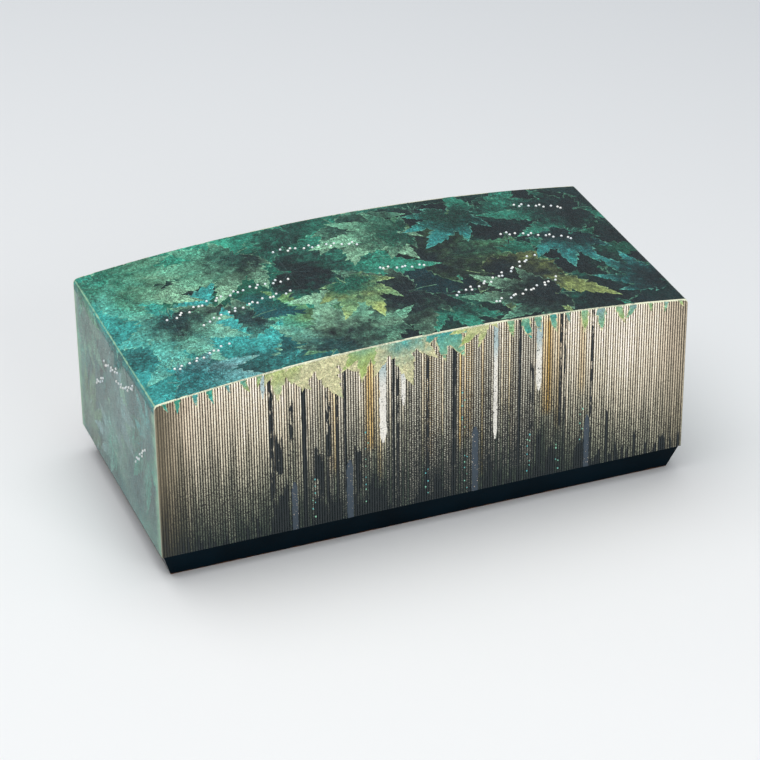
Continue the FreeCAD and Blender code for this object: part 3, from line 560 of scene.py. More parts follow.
def graded_lacquer(name):
    """Satin lacquer: leaves grade from dark hearts to light tips, the ground by clouds."""
    tints = bpy.context.scene.box_tints
    at_end, on_leaf = "end" in name, "leaf" in name
    specular, coat = (0.3, 0.34) if at_end else (0.2, 0.08)
    desk, shader = new_finish(name, Specular_IOR_Level=specular, Coat_Weight=coat,
                              Coat_Roughness=0.22)
    place = desk.place()
    x, y, z = place.split()
    cloud = place.noise(24, 3, 0.55, 0.5)
    hanging = abs(y).fade(TOP_HALF_DEPTH, TOP_HALF_DEPTH + 0.7 * MM)
    above = z.fade(100 * MM, 107 * MM, 0.15, 1) * (1 - hanging)
    if on_leaf:
        colour, tip, level = leaf_colours(desk, place, cloud, hanging, tints)
        if at_end:
            veil = place.noise((90, 90, 22), 3).between(0.12, 0.56)
            colour = colour.toward(tints.deep, veil)
        strength = hanging.fade(0, 1, 1, 0.4)
    else:
        other = place.noise(16, 3, 0.55, start=(0.7, 0.3, 0.1))
        colour = desk.mix(cloud.fade(0.36, 0.58), tints.night, tints.deep)
        colour = colour.toward(tints.pine, other.fade(0.46, 0.66, 0, 0.9))
        strength = 0.8
    # Washes over the top, each a colour, the way it grows, the first and last place on that way
    # in millimetres, its most, how far clouds move it, and its fade from a leaf's heart to its tip.
    # The night wash towards the right and the turquoise wash at the front left are partly painted
    # shade and light: the fall of the light across the top.
    for wash, way, first, last, most, drift, on_tip in (
            (desk.mix(cloud.fade(0.4, 0.6), tints.pine, tints.teal),
             (-0.3, 1, 0), 8, 92, 0.74, 22, (0.3, 0.7, 0.25, 0.76)),
            (tints.night, (1, -0.25, 0), -70, 90, 0.88, 0, (0.4, 0.8, 1, 0.52)),
            (tints.turquoise, (-0.75, -0.65, 0), 60, 145, 0.85, 30, (0.3, 0.7, 0.45, 0.94))):
        along = place.dot(way) + cloud.sway(drift * MM)
        share = along.fade(first * MM, last * MM, 0, most) * above
        colour = colour.toward(wash, share * level.fade(*on_tip) if on_leaf else share)
    if on_leaf:
        brim = desk.stored("margin").fade(0.7, 1.0, 0, 0.45) * above
        colour = colour.toward(tip.toward(tints.sage, 0.5), brim)
    colour, height = desk.effect("sponged_lacquer", ("Colour", "Height"),
                                 Place=place, Colour=colour, Dark=tints.night, Strength=strength)
    # Rim and border: a painted highlight along the rounded edges of the lid, paler green where it
    # turns down the ends
    rim = desk.stored("rim")
    if at_end:
        colour, border = end_weather(desk, place, colour, 1 - above, tints)
        rim = rim.larger(border)
    edge = (rim + place.noise(260, 3).between(-0.1, 0.1)).fade(0.28, 0.72)
    turned_down = abs(x).fade(HALF_LENGTH - 4 * MM, HALF_LENGTH - 2 * MM, 0, 0.84)
    colour = colour.toward(desk.mix(turned_down, tints.rim, tints.sage), edge)
    if not on_leaf:
        inside = bpy.context.scene.box_inside
        flakes = desk.effect("sprinkled_gold", Place=place, Amount=0.11)
        inner_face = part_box("lid_right_board")[0].x + 0.05 * MM
        within = abs(x) < inner_face if at_end else desk.stored("under") > 0.5
        colour = colour.toward(desk.mix(flakes, inside.black, inside.gold), within)
    desk.fill(shader, Base_Color=colour, Roughness=height.fade(0.2, 0.9, 0.3, 0.44),
              Normal=desk.bump(height, 0.8 * MM))


def end_weather(desk, place, colour, below, tints):
    """Slanting strokes of mist and night on the ends, a pale veil over them that is partly painted
    sheen, pale bands along their front and back edges, and a painted highlight on their upright
    corners.
    """
    x, y, z = place.split()
    slant = desk.node("ShaderNodeCombineXYZ", {0: x, 1: place.dot((0, 1, 0.4)), 2: z})
    stroke = slant.noise((420, 420, 60), 4, 0.66, 1.4) * below
    patch = place.noise(36, 3, 0.6, start=(0.2, 0.5, 0.3)).fade(0.4, 0.62, 0.1, 0.6)
    aside = abs(y) + place.noise(120, 4).between(-2 * MM, 2 * MM)
    colour = colour.covered(
        # Pale veil of mist and sage: partly the lacquer's own mist, partly painted sheen of the
        # bright room seen at a grazing angle
        (desk.mix(0.5, tints.mist, tints.sage), place.noise(34).between(0.14, 0.42) * below),
        (tints.mist, stroke.fade(0.5, 0.64, 0, 0.8)),
        (tints.night, stroke.fade(0.34, 0.45, 1, 0) * patch),
        (tints.sage, aside.fade(64 * MM, 73 * MM, 0, 0.85) * below))
    # Painted highlight on the upright corners, where an end meets the facings
    return colour, aside.fade(72 * MM, 74 * MM, 0, 0.42)


# Beads of powder on the silver ribs: their beat in radians a metre, and how far tone shifts it.
BEAD_RATE = 5600
BEAD_SHIFT = 40


def ribbed_bronze():
    """Metal powder on ribs, with ochre, silver-dotted and bare stretches, a shaded foot and painted
    glints on the powder.
    """
    facing = bpy.context.scene.box_facing
    desk, shader = new_finish("ribbed_bronze")
    place = desk.place()
    tone, dull, silver = (desk.stored(name) for name in ("tone", "dull", "silver"))
    grain = place.noise(1800, 2, 0.7)
    streak = place.noise((700, 700, 26), 3, 0.6)
    ragged = place.noise((800, 800, 90), 4, 0.7)
    dusk = desk.stored("share") / desk.stored("foot") + streak.ramp(0.2, 0.8, -0.22, 0.22)
    dusk = dusk.ramp(0, 1.1, 1, 0) * desk.stored("dusk")
    sparse = (dusk ** 1.4).larger(desk.stored("sparse"))
    thin = sparse ** 1.8
    spill = grain.sway(1) * thin.ramp(0, 1, 0.16, 0.75)
    # Powder only on the crowns and dark lacquer in the grooves: partly the ribs' own colours,
    # partly painted highlight on the crowns and shade in the grooves
    powder = (desk.stored("crest") * sparse.ramp(0, 1, 1, 0.62) + spill).fade(0.57, 0.85)
    groove = desk.mix(sparse, facing.groove, facing.bare)
    groove = groove.toward(facing.dull, dull * dusk.fade(0.2, 0.9, 0.9, 0.1))
    beat = desk.math("SINE", place.split()[2] * BEAD_RATE + tone * BEAD_SHIFT)
    bead = (beat + grain.fade(0.2, 0.8, -0.8, 0.8)).fade(-0.1, 0.4)
    powder = powder * (1 - silver * (1 - bead) * 0.66)
    metal = desk.mix(dusk.larger(dull * 0.4), facing.crest, facing.shade).covered(
        (facing.ochre, desk.stored("ochre")), (facing.silver, silver * bead))
    level = streak.ramp(0.3, 0.7, 0.8, 1.1) * tone * thin.ramp(0, 1, 1.12, 0.36)
    # Painted highlight: tiny bright points that brighten the powder like glints of light
    painted_glints = place.noise(1300, 2, 0.7).fade(0.3, 0.72, 0.86, 1.36)
    level = level * (painted_glints * dull.ramp(0, 1, 1, 0.3))
    bare = (desk.stored("bare") + ragged.ramp(0.2, 0.8, -0.5, 0.5)).fade(0.5, 0.56)
    # Rim: a painted highlight along the rounded top edge and the upright ends of the facing
    rim = desk.stored("rim").fade(0.3, 0.6)
    colour = groove.covered((desk.lit(metal, level), powder), (facing.bare, bare),
                            (bpy.context.scene.box_tints.rim, rim))
    desk.fill(shader, Base_Color=colour, Metallic=powder * (1 - bare.larger(rim)) * 0.55,
              Roughness=bare.fade(0, 1, 0.48, 0.24), Normal=desk.bump(grain, 0.2 * MM))


def inlay(name, colour, speck, roughness, specks):
    """A smooth inlaid strip with specks of another colour."""
    desk, shader = new_finish(name, Roughness=roughness, Coat_Weight=0.3, Coat_Roughness=0.15)
    place = desk.place()
    crack = place.cracks(700).fade(0, 0.06, 0.45, 0) * specks
    spots = place.noise(1300).fade(0.69 - 0.07 * specks, 0.74 - 0.07 * specks)
    if "eggshell" in name:
        high = place.split()[2].fade(90 * MM, 106 * MM, 0, 0.75)
        colour = desk.mix(high, colour, bpy.context.scene.box_tints.mist)
    colour = desk.lit(colour, place.noise(90, 3).between(0.88, 1.05))
    desk.fill(shader, Base_Color=colour.toward(speck, crack.larger(spots)),
              Normal=desk.bump(crack, 0.05 * MM, 0.4))


def polished_shell(name, first, second):
    """Shell with a faint play of colour from piece to piece."""
    desk, shader = new_finish(name, Roughness=0.16, Coat_Weight=0.6, Coat_Roughness=0.08)
    play = desk.place().noise(240).fade(0.35, 0.65)
    desk.fill(shader, Base_Color=desk.mix(play, paint(*first), paint(*second)))


def polished_black():
    """Blue-black lacquer of the plinth, rubbed brown along its foot."""
    desk, shader = new_finish("polished_black", Specular_IOR_Level=0.03)
    place = desk.place()
    waver = place.noise(240, 4)
    level = place.split()[2] + waver.between(-0.3 * MM, 0.3 * MM)
    colour = desk.mix(place.noise(30, 3).between(), paint(0, 12, 20), paint(1, 20, 30))
    colour = colour.toward(paint(96, 62, 42), level.fade(0.5 * MM, 1.0 * MM, 1, 0))
    desk.fill(shader, Base_Color=colour, Roughness=waver.between(0.13, 0.2),
              Normal=desk.bump(place.noise(25), 0.08 * MM, 0.25))


# ---------------------------------------------------------------- finishes of the inside

def sprinkled_black(inside, name, amount):
    """Black lacquer with sprinkled gold, rubbed to its undercoat along the edges."""
    desk, shader = new_finish(name, Specular_IOR_Level=0.4, Coat_Weight=0.3, Coat_Roughness=0.1)
    place = desk.place()
    cloud = place.noise(14, 3).fade(0.35, 0.68, 0.35 * amount, 1.5 * amount)
    flakes = desk.effect("sprinkled_gold", Place=place, Amount=cloud)
    worn = desk.effect("worn_edge", Place=place, Width=0.35 * MM)
    colour = desk.mix(worn * 0.7, inside.black, inside.undercoat).toward(inside.gold, flakes)
    desk.fill(shader, Base_Color=colour, Metallic=flakes * 0.6,
              Roughness=place.noise(90, 3).between(0.16, 0.27),
              Normal=desk.bump(place.noise(35), 0.15 * MM, 0.3))


def honed_slate(inside):
    """Slate with faint bedding, polished on its plain and stained by ink in its well."""
    desk, shader = new_finish("honed_slate", Specular_IOR_Level=0.35)
    place = desk.place()
    low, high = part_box("inkstone")
    x, _, z = place.split()
    bed = place.noise((30, 160, 400), 4, 0.6)
    grain = place.noise(1200, 3, 0.7)
    flow = place.noise(60, 4, 0.6).between(-1.5 * MM, 1.5 * MM)
    inner = (high.x - low.x) / 2 - 3 * MM - abs(x - (low.x + high.x) / 2)
    sunk = (high.z - (z + flow)).fade(3.5 * MM, 6.5 * MM) * inner.fade(0, 1 * MM)
    worn = desk.effect("worn_edge", Place=place, Width=0.6 * MM)
    colour = desk.mix(bed.fade(0.35, 0.7, 0, 0.5), inside.slate, paint(96, 100, 102)).covered(
        (paint(130, 134, 136), grain.fade(0.6, 0.75, 0, 0.4)),
        (paint(140, 142, 142), worn * 0.35), (inside.ink, sunk * 0.9))
    desk.fill(shader, Base_Color=colour, Roughness=grain.between(0.42, 0.6) - sunk * 0.08,
              Normal=desk.bump(grain, 0.1 * MM, 0.5))


def pressed_ink(inside):
    """A pressed ink stick, faintly gilded along its raised border, dull where it was ground."""
    desk, shader = new_finish("pressed_ink", Specular_IOR_Level=0.4)
    place = desk.place()
    gilt = desk.stored("border") * place.noise(260, 4, 0.6).fade(0.4, 0.6, 0.2, 0.85)
    crack = place.cracks(130).fade(0, 0.02, 0.5, 0)
    colour = desk.mix(place.noise(70, 3).between(), inside.ink, paint(38, 37, 40))
    desk.fill(shader, Base_Color=colour.toward(inside.gold, gilt * 0.8), Metallic=gilt * 0.7,
              Roughness=desk.stored("ground").fade(0, 1, 0.4, 0.75),
              Normal=desk.bump(place.noise(800, 3) - crack, 0.1 * MM, 0.5))


def patinated_bronze(inside):
    """Brown bronze, green in its low places and bright where it is handled."""
    desk, shader = new_finish("patinated_bronze", Metallic=0.8)
    place = desk.place()
    stain = place.noise(110, 4, 0.62)
    colour = desk.mix(stain.between(), inside.bronze, paint(78, 50, 34)).covered(
        (inside.verdigris, place.noise(190, 4, 0.6).fade(0.56, 0.7, 0, 0.6)),
        (paint(206, 150, 96), desk.effect("worn_edge", Place=place, Width=0.6 * MM)))
    desk.fill(shader, Base_Color=colour, Roughness=stain.between(0.3, 0.5),
              Normal=desk.bump(place.noise(500, 4, 0.6), 0.15 * MM, 0.5))


def polished_bamboo(inside):
    """Bamboo with long fibres, freckles and darker joints."""
    desk, shader = new_finish("polished_bamboo", Coat_Weight=0.35, Coat_Roughness=0.14)
    place = desk.place()
    fibre = place.noise((25, 1500, 1500), 4, 0.6)
    freckle = place.noise((260, 500, 500), 3, 0.6).fade(0.56, 0.64, 0, 0.7)
    colour = desk.mix(fibre.between(), inside.bamboo, paint(168, 122, 68)).covered(
        (paint(104, 62, 34), freckle * place.noise(35).fade(0.45, 0.65)),
        (paint(92, 56, 30), desk.stored("joint") * 0.75))
    desk.fill(shader, Base_Color=colour, Roughness=fibre.between(0.28, 0.42),
              Normal=desk.bump(fibre, 0.06 * MM, 0.5))


def bare_cypress(inside):
    """Bare straight-grained cypress."""
    desk, shader = new_finish("bare_cypress", Specular_IOR_Level=0.3)
    grain = desk.place().noise((900, 900, 60), 4, 0.6)
    colour = desk.mix(grain.fade(0.35, 0.65), inside.cypress, paint(168, 126, 80))
    desk.fill(shader, Base_Color=colour, Roughness=grain.between(0.5, 0.66),
              Normal=desk.bump(grain, 0.06 * MM, 0.5))


def dark_horn(inside):
    """Polished horn with pale streaks."""
    desk, shader = new_finish("dark_horn", Coat_Weight=0.4, Coat_Roughness=0.08)
    streak = desk.place().noise((160, 700, 700), 3, 0.6)
    desk.fill(shader, Base_Color=desk.mix(streak.fade(0.5, 0.72), inside.horn, paint(128, 96, 62)),
              Roughness=streak.between(0.18, 0.3))


def brush_hair(inside):
    """Fine hair drawn to a point, dark from ink at the tip and bound at the root."""
    desk, shader = new_finish("brush_hair", Roughness=0.55, Specular_IOR_Level=0.3)
    strand = desk.place().noise((60, 3600, 3600), 3, 0.6)
    along = desk.stored("along")
    ink = along + strand.fade(0.2, 0.8, -0.12, 0.12)
    colour = desk.mix(strand.between(), inside.hair, paint(122, 92, 60)).covered(
        (inside.ink, ink.fade(0.45, 0.8, 0, 0.85)), (paint(120, 30, 26), along < 0.045))
    desk.fill(shader, Base_Color=colour, Normal=desk.bump(strand, 0.12 * MM, 0.8))


# ---------------------------------------------------------------- lid skin

def vaulted_top():
    """The vaulted panel with rounded ends, a fine arc from end to end."""
    vault = Vault()
    steps, seam = 150, 0.6 * MM
    # Painted highlight along the rounded edges: its strength along the sides, its most on the ends
    # and its spread round them
    side_highlight, end_highlight, end_spread = 0.55, 0.66, 0.3
    crest = arc(0, vault.centre, vault.radius, np.linspace(-vault.lean, vault.lean, steps + 1))
    turns = np.linspace(vault.lean, QUARTER, END_FOLDS + 1)[1:]
    right = arc(vault.corner_x, vault.corner_z, vault.round, turns)
    right.append((HALF_LENGTH, PANEL_LOW.z + 0.02 * MM))
    left = [(-x, z) for x, z in reversed(right)]
    under_radius = math.hypot(PANEL_LOW.z - vault.centre, HALF_LENGTH)
    lean = math.asin(HALF_LENGTH / under_radius)
    under = arc(0, vault.centre, under_radius, np.linspace(lean, -lean, steps // 2 + 1))
    section = left + crest + right + under
    rows = [-TOP_HALF_DEPTH, seam - TOP_HALF_DEPTH, TOP_HALF_DEPTH - seam, TOP_HALF_DEPTH]
    points = [(x, y, z) for y in rows for x, z in section]
    piece = new_piece("vaulted_top", points, closed_grid(len(rows), len(section)), "lid",
                      "green_lacquer", "ground_lacquer", "lid_top_panel")

    def rubbed(x, z):
        """How strong the painted highlight is on the rounding of an end, most in its middle."""
        out, up = abs(x) - vault.corner_x, z - vault.corner_z
        if out <= 0 or up <= -0.1 * MM:
            return 0
        past_middle = math.atan2(out, max(up, 0)) - (vault.lean + QUARTER) / 2
        return end_highlight * math.exp(-(past_middle / end_spread) ** 2)

    # Rim: a painted highlight along the rounded sides and ends of the top
    at_corner = [rubbed(x, z) for x, z in section]
    at_rows = (side_highlight, 0, 0, side_highlight)
    give(piece, rim=[max(at_row, share) for at_row in at_rows for share in at_corner],
         under=np.tile([0] * (len(section) - len(under)) + [1] * len(under), len(rows)))


# Stretches of the facings: middle and width in millimetres along the front, lowest and highest
# share of the height, strength.
BARE = (
    (-88, 2.8, -1, 0.96, 0.62), (-84, 4.2, 0.3, 0.56, 0.72), (-77, 2.8, 0.5, 0.74, 0.7),
    (-70, 2.8, -1, 2, 0.9), (-62, 5.6, 0.2, 0.46, 0.74), (-56, 2.8, 0.44, 0.8, 0.62),
    (-47, 1.5, 0.1, 0.95, 0.9), (-40, 4.2, 0.12, 0.4, 0.72), (-20, 1.5, -1, 2, 1.0),
    (14, 1.5, -1, 0.85, 0.95), (52, 1.5, -1, 2, 1.0), (59, 2.8, 0.25, 0.7, 0.55),
    (78, 1.5, -1, 2, 0.6), (104, 1.5, -1, 0.45, 0.95), (121, 1.4, -1, 0.2, 1.0),
    (134, 1.4, -1, 0.16, 1.0), (143, 1.4, -1, 0.14, 0.9), (-128, 1.4, -1, 0.15, 1.0),
    (-138, 1.4, -1, 0.1, 0.9),
)
# Groups of ribs where the bare lacquer climbs from the foot: middle, width, highest share.
CLIMBS = ((-82, 18, 0.5), (-58, 22, 0.6), (-32, 24, 0.44), (0, 26, 0.22), (34, 28, 0.2),
          (66, 22, 0.46), (92, 22, 0.42))
OCHRE = (
    (-54, 4.2, 0.3, 1.0, 0.8), (-34, 5.6, 0.4, 1.0, 0.9), (-28, 1.4, 0.2, 1.0, 0.7),
    (0, 5.6, 0.25, 1.0, 0.9), (6, 2.8, 0.4, 1.0, 0.8), (18, 2.8, 0.3, 1.0, 0.8),
    (23, 5.6, 0.35, 1.0, 0.9), (31, 1.4, 0.1, 1.0, 0.8), (44, 2.8, 0.45, 1.0, 0.8),
    (48, 1.4, 0.2, 1.0, 0.9), (68, 5.6, 0.4, 1.0, 0.9), (74, 1.4, 0.3, 1.0, 0.8),
    (88, 2.8, 0.5, 1.0, 0.6),
)
SILVER = ((-52, 34, 0.0, 1.0, 0.7), (0, 50, 0.0, 1.0, 1.0), (42, 40, 0.1, 1.0, 1.0))


def stretches(bands, x, share, soften=0.5):
    """How much each point lies in the bands, from 0 to 1."""
    total = np.zeros_like(x)
    for middle, width, low, high, strength in bands:
        across = np.clip((width / 2 - np.abs(x / MM - middle)) / soften + 0.5, 0, 1)
        up = np.clip((share - low) / 0.05 + 0.5, 0, 1) * np.clip((high - share) / 0.08 + 0.5, 0, 1)
        total = np.maximum(total, across * up * strength)
    return total


def climbing(middles, random):
    """How high bare lacquer climbs on each rib, as a share of the facing."""
    count = len(middles)
    climb = np.zeros(count)
    for middle, width, high in CLIMBS:
        hill = np.clip(1 - (np.abs(middles / MM - middle) / (width / 2)) ** 2, 0, 1)
        wander = np.interp(np.arange(count), np.arange(0, count + 3, 3),
                           random.uniform(0.3, 1.1, count // 3 + 2))
        in_pairs = np.repeat(random.choice((0.2, 0.6, 1.0), count // 2 + 1), 2)[:count]
        climb = np.maximum(climb, high * hill * wander * in_pairs)
    stray = random.random(count) < 0.3
    return np.maximum(climb, np.where(stray, random.uniform(0, 0.18, count), 0))


def ribbed_facing(side):
    """One facing with upright half-round ribs, front (-1) or back (1)."""
    facing = bpy.context.scene.box_facing
    vault = Vault()
    count = round(2 * HALF_LENGTH / facing.rib_pitch)
    pitch = 2 * HALF_LENGTH / count
    relief, steps = facing.rib_relief, facing.rib_steps
    radius = (pitch ** 2 / 4 + relief ** 2) / (2 * relief)
    widest = math.asin(pitch / 2 / radius)
    turns = np.linspace(-widest, widest, steps + 1)
    rib_out = radius * np.cos(turns) - (radius - relief)
    middles = -HALF_LENGTH + pitch * (np.arange(count) + 0.5)
    x = np.append((middles[:, None] + radius * np.sin(turns)[None, :-1]).ravel(), HALF_LENGTH)
    out = np.append(np.tile(rib_out[:-1], count), rib_out[-1])
    rib = np.append(np.repeat(np.arange(count), steps), count - 1)

    # Each line goes from the back of the foot up the face and over the rounding of the top.
    rows = facing.rows + 2
    shares = np.concatenate([[0], np.linspace(0, 1, facing.rows + 1), np.ones(SIDE_FOLDS)])
    turns = np.append(np.zeros(rows), np.linspace(0, QUARTER, SIDE_FOLDS + 1)[1:])
    proud = np.cos(turns) * (np.arange(len(turns)) > 0)
    around = len(shares)
    y = TOP_HALF_DEPTH + (FACE_DEPTH - TOP_HALF_DEPTH - relief + out)[:, None] * proud
    z = vault.height(x[:, None], shares) + vault.side_round * np.sin(turns)
    along = np.repeat(x, around)
    points = np.stack([-side * along, side * y.ravel(), z.ravel()], -1)
    label = "front" if side < 0 else "back"
    piece = new_piece(f"{label}_ribs", points, closed_grid(len(x), around), "lid", "bronze_lacquer",
                      "ribbed_bronze", f"{label}_ribbed_facing", smooth_under=60)

    random = np.random.default_rng(SEEDS[f"{label}_ribs"])
    share = np.tile(shares, len(x))

    def by_rib(values):
        return np.repeat(values[rib], around)

    def by_station(*values):
        """Values at six places along the facing, carried on to every rib."""
        return np.interp(middles / HALF_LENGTH, (-1, -0.7, -0.2, 0.4, 0.75, 1), values)

    tone = random.uniform(0.86, 1.08, count) * np.interp(
        np.arange(count), np.linspace(0, count, 17), random.uniform(0.9, 1.1, 17))
    foot = by_station(0.88, 0.9, 0.94, 0.92, 0.72, 0.72) * random.uniform(0.9, 1.1, count)
    past = np.clip((np.abs(along) / HALF_LENGTH - 0.86) / 0.14, 0, 1)
    at_left = along < 0
    # Rim: a painted highlight on the rounding over the top of the facing, fainter on its upright
    # ends
    rim = np.tile(np.select([turns > 0.5, turns > 0], [1, 0.3], 0), len(x))
    give(piece, tone=by_rib(tone * by_station(0.92, 1.15, 1.34, 1.24, 1.2, 1.08)),
         sparse=np.where(at_left, 0.3, 0.24) * past, dull=np.where(at_left, 1, 0.5) * past,
         crest=np.repeat(out / relief, around), share=share, foot=by_rib(foot),
         dusk=by_rib(by_station(1, 1, 1.16, 1.16, 0.8, 0.68)),
         rim=np.maximum(rim, 0.42 * (np.abs(along) > HALF_LENGTH - 0.35 * MM)))

    dotted = random.random(count) < 0.75
    golden = stretches(OCHRE, along, share, 3) * by_rib(0.5 + 0.6 * random.random(count))
    climb = by_rib(climbing(middles, random))
    bare = np.clip((climb - share) / 0.3 + 0.45, 0, 0.8) * (climb > 0.02)
    lines = (random.random(count) > 0.94) & (np.abs(middles) < 98 * MM)
    bare = np.maximum(bare, by_rib(np.where(lines, 0.62, 0)))
    ragged = share + by_rib(random.uniform(-0.12, 0.12, count))
    give(piece, ochre=np.maximum(golden, np.where(at_left, 0.3, 0.14) * past),
         silver=stretches(SILVER, along, share, 6) * by_rib(dotted),
         bare=np.maximum(bare, stretches(BARE, along, ragged)))


# Inlaid strips: middle and width in millimetres, highest and lowest share of the height.
EGGSHELL = ((-26, 4.0, 1.0, 0.42), (-14.5, 2.6, 1.0, 0.62), (38, 2.4, 1.0, 0.3),
            (63, 3.4, 0.97, 0.55), (-92, 2.2, 1.0, 0.86))
SLATE = ((-76, 3.4, 0.3, 0.0), (-45, 3.8, 0.36, 0.0), (26.5, 3.8, 0.4, 0.0), (92, 3.2, 0.34, 0.0))
# Columns of shell flakes: middle in millimetres, highest and lowest share, how many.
FLAKES = ((-66, 0.3, 0.05, 7), (-36, 0.5, 0.1, 9), (-2, 0.2, 0.04, 6), (19, 0.62, 0.4, 6),
          (20.5, 0.24, 0.05, 8), (57, 0.3, 0.06, 8), (74, 0.18, 0.04, 5), (88, 0.4, 0.2, 5))


def inlays(side):
    """Eggshell and slate strips and shell flakes of one facing."""
    vault = Vault()
    label = "front" if side < 0 else "back"
    random = np.random.default_rng(SEEDS[f"{label}_inlays"])
    face, bed = FACE_DEPTH + 0.05 * MM, FACE_DEPTH - bpy.context.scene.box_facing.rib_relief

    def strip(middle, width, high, low):
        """Rings of a strip that tapers to its free end."""
        middle *= MM
        bottom, top = (float(vault.height(middle, share)) for share in (low, high))
        rows = max(6, round((top - bottom) / (1.2 * MM)))
        rings = []
        for z in (bottom + (top - bottom) * row / rows for row in range(rows + 1)):
            taper = 0.25 + (z - bottom) / (7 * MM) if low > 0 else 0.3 + (top - z) / (6 * MM)
            half = width * MM / 2 * min(1, taper)
            left, right = (middle - sign * half * random.uniform(0.8, 1.08) for sign in (1, -1))
            rings.append([(left, face, z), (right, face, z), (right, bed, z), (left, bed, z)])
        return rings

    def flake(x, z):
        reach = random.uniform(0.35, 0.62) * MM
        turns = np.linspace(0, 2 * math.pi, 7)[:-1] + random.uniform(0, 1)
        corners = [(x + reach * math.cos(a) * 0.8, z + reach * math.sin(a)) for a in turns]
        return [[(a, y, b) for a, b in corners] for y in (face, bed)]

    flakes = []
    sets = [("eggshell_strips", "eggshell_inlay", [strip(*place) for place in EGGSHELL]),
            ("slate_strips", "slate_inlay", [strip(*place) for place in SLATE]),
            ("shell_flakes", "blue_shell", flakes)]
    for middle, high, low, count in FLAKES:
        for share in np.linspace(low, high, count) + random.uniform(-0.02, 0.02, count):
            x = (middle + random.choice((0, 0, 1.4))) * MM
            flakes.append(flake(x, float(vault.height(x, max(share, 0.02)))))
    for name, finish, made in sets:
        parts = [([(-side * x, side * y, z) for ring in rings for x, y, z in ring],
                  closed_grid(len(rings), len(rings[0]))) for rings in made]
        new_piece(f"{label}_{name}", *join(parts), "lid", "bronze_lacquer", finish)


# ---------------------------------------------------------------- leaves in raised lacquer

# The angle from one lobe to the next. Each lobe: its steps from the middle one, and its length as
# a share of the leaf.
LOBE_SPACING = math.radians(36)
LOBES = ((0, 1.0), (1, 0.9), (-1, 0.9), (2, 0.7), (-2, 0.7), (3, 0.4), (-3, 0.4))

# Place in the plan of the lid in millimetres, length in millimetres, heading in degrees, colour
# of the tips, colour of the heart. The plan runs on past the top, down the ends and the sides.
TOP_LEAVES = (
    (26, -38, 46, -100, "teal", "night"), (62, -40, 42, -84, "pine", "night"),
    (96, -42, 40, -70, "teal", "night"), (-104, 30, 84, 62, "teal", "night"),
    (-30, 66, 92, -70, "teal", "night"), (44, 60, 88, -96, "teal", "night"),
    (118, 66, 84, -118, "teal", "night"), (146, -12, 86, 168, "pine", "night"),
    (70, -70, 88, 74, "pine", "night"), (-14, -52, 86, 128, "olive", "night"),
    (-146, -20, 86, 22, "turquoise", "night"), (112, -66, 70, 128, "teal", "night"),
    (-80, -18, 84, 196, "sage", "night"), (30, 4, 84, 24, "olive", "night"),
    (-140, 64, 74, -64, "sage", "pine"), (-44, 20, 86, -18, "teal", "night"),
    (84, 22, 70, 84, "teal", "night"), (-104, -70, 72, 74, "turquoise", "night"),
    (8, -26, 82, -166, "sage", "night"), (136, 44, 62, -168, "teal", "night"),
    (-66, 50, 62, -140, "sage", "night"), (58, -22, 74, -24, "lime", "night"),
    (0, 60, 58, -52, "sage", "night"), (100, -14, 60, 12, "pine", "night"),
    (-116, 4, 58, -96, "sage", "night"), (-48, -66, 66, 48, "sage", "night"),
    (28, 40, 54, 172, "sage", "pine"), (82, -52, 56, -178, "sage", "night"),
    (-128, -60, 50, -16, "mist", "deep"), (146, -48, 46, 146, "turquoise", "night"),
    (62, 54, 46, -108, "turquoise", "pine"), (-20, -4, 44, -64, "lime", "pine"),
    (120, 14, 44, -128, "turquoise", "deep"),
)
FRINGE_LEAVES = (
    (-145, -71, 9, -92, "turquoise", "teal"), (-138, -71, 11, -84, "turquoise", "teal"),
    (-128, -71, 10, -98, "mist", "turquoise"), (-121, -71, 13, -86, "turquoise", "teal"),
    (-111, -71, 9, -94, "mist", "turquoise"), (-103, -71, 12, -82, "lime", "turquoise"),
    (-93, -71, 10, -100, "lime", "sage"), (-80, -65, 29, -76, "cream", "lime"),
    (-58, -62, 37, -98, "cream", "cream"), (-37, -68, 24, -84, "lime", "sage"),
    (-16, -60, 41, -92, "cream", "turquoise"), (9, -65, 31, -70, "sage", "turquoise"),
    (30, -66, 25, -106, "lime", "cream"), (46, -71, 13, -90, "lime", "sage"),
    (54, -71, 17, -82, "turquoise", "sage"), (62, -71, 12, -98, "mist", "sage"),
    (70, -71, 15, -86, "sage", "turquoise"), (79, -71, 10, -94, "mist", "sage"),
    (88, -71, 18, -76, "lime", "sage"), (98, -71, 16, -84, "sage", "mist"),
    (108, -71, 15, -78, "lime", "sage"), (118, -71, 12, -96, "sage", "mist"),
    (127, -71, 8, -84, "lime", "sage"), (137, -71, 9, -92, "sage", "mist"),
    (145, -71, 7, -88, "lime", "sage"),
)
END_LEAVES = (
    (-206, 36, 62, 40, "teal", "deep"), (-228, -30, 66, 12, "sage", "deep"),
    (-176, -46, 50, -150, "teal", "pine"), (-190, 10, 48, -70, "mist", "deep"),
    (-234, 58, 52, -24, "olive", "moss"), (-164, 56, 40, -120, "sage", "pine"),
    (-222, 8, 38, 80, "mist", "teal"), (-184, -62, 34, 30, "turquoise", "deep"),
)


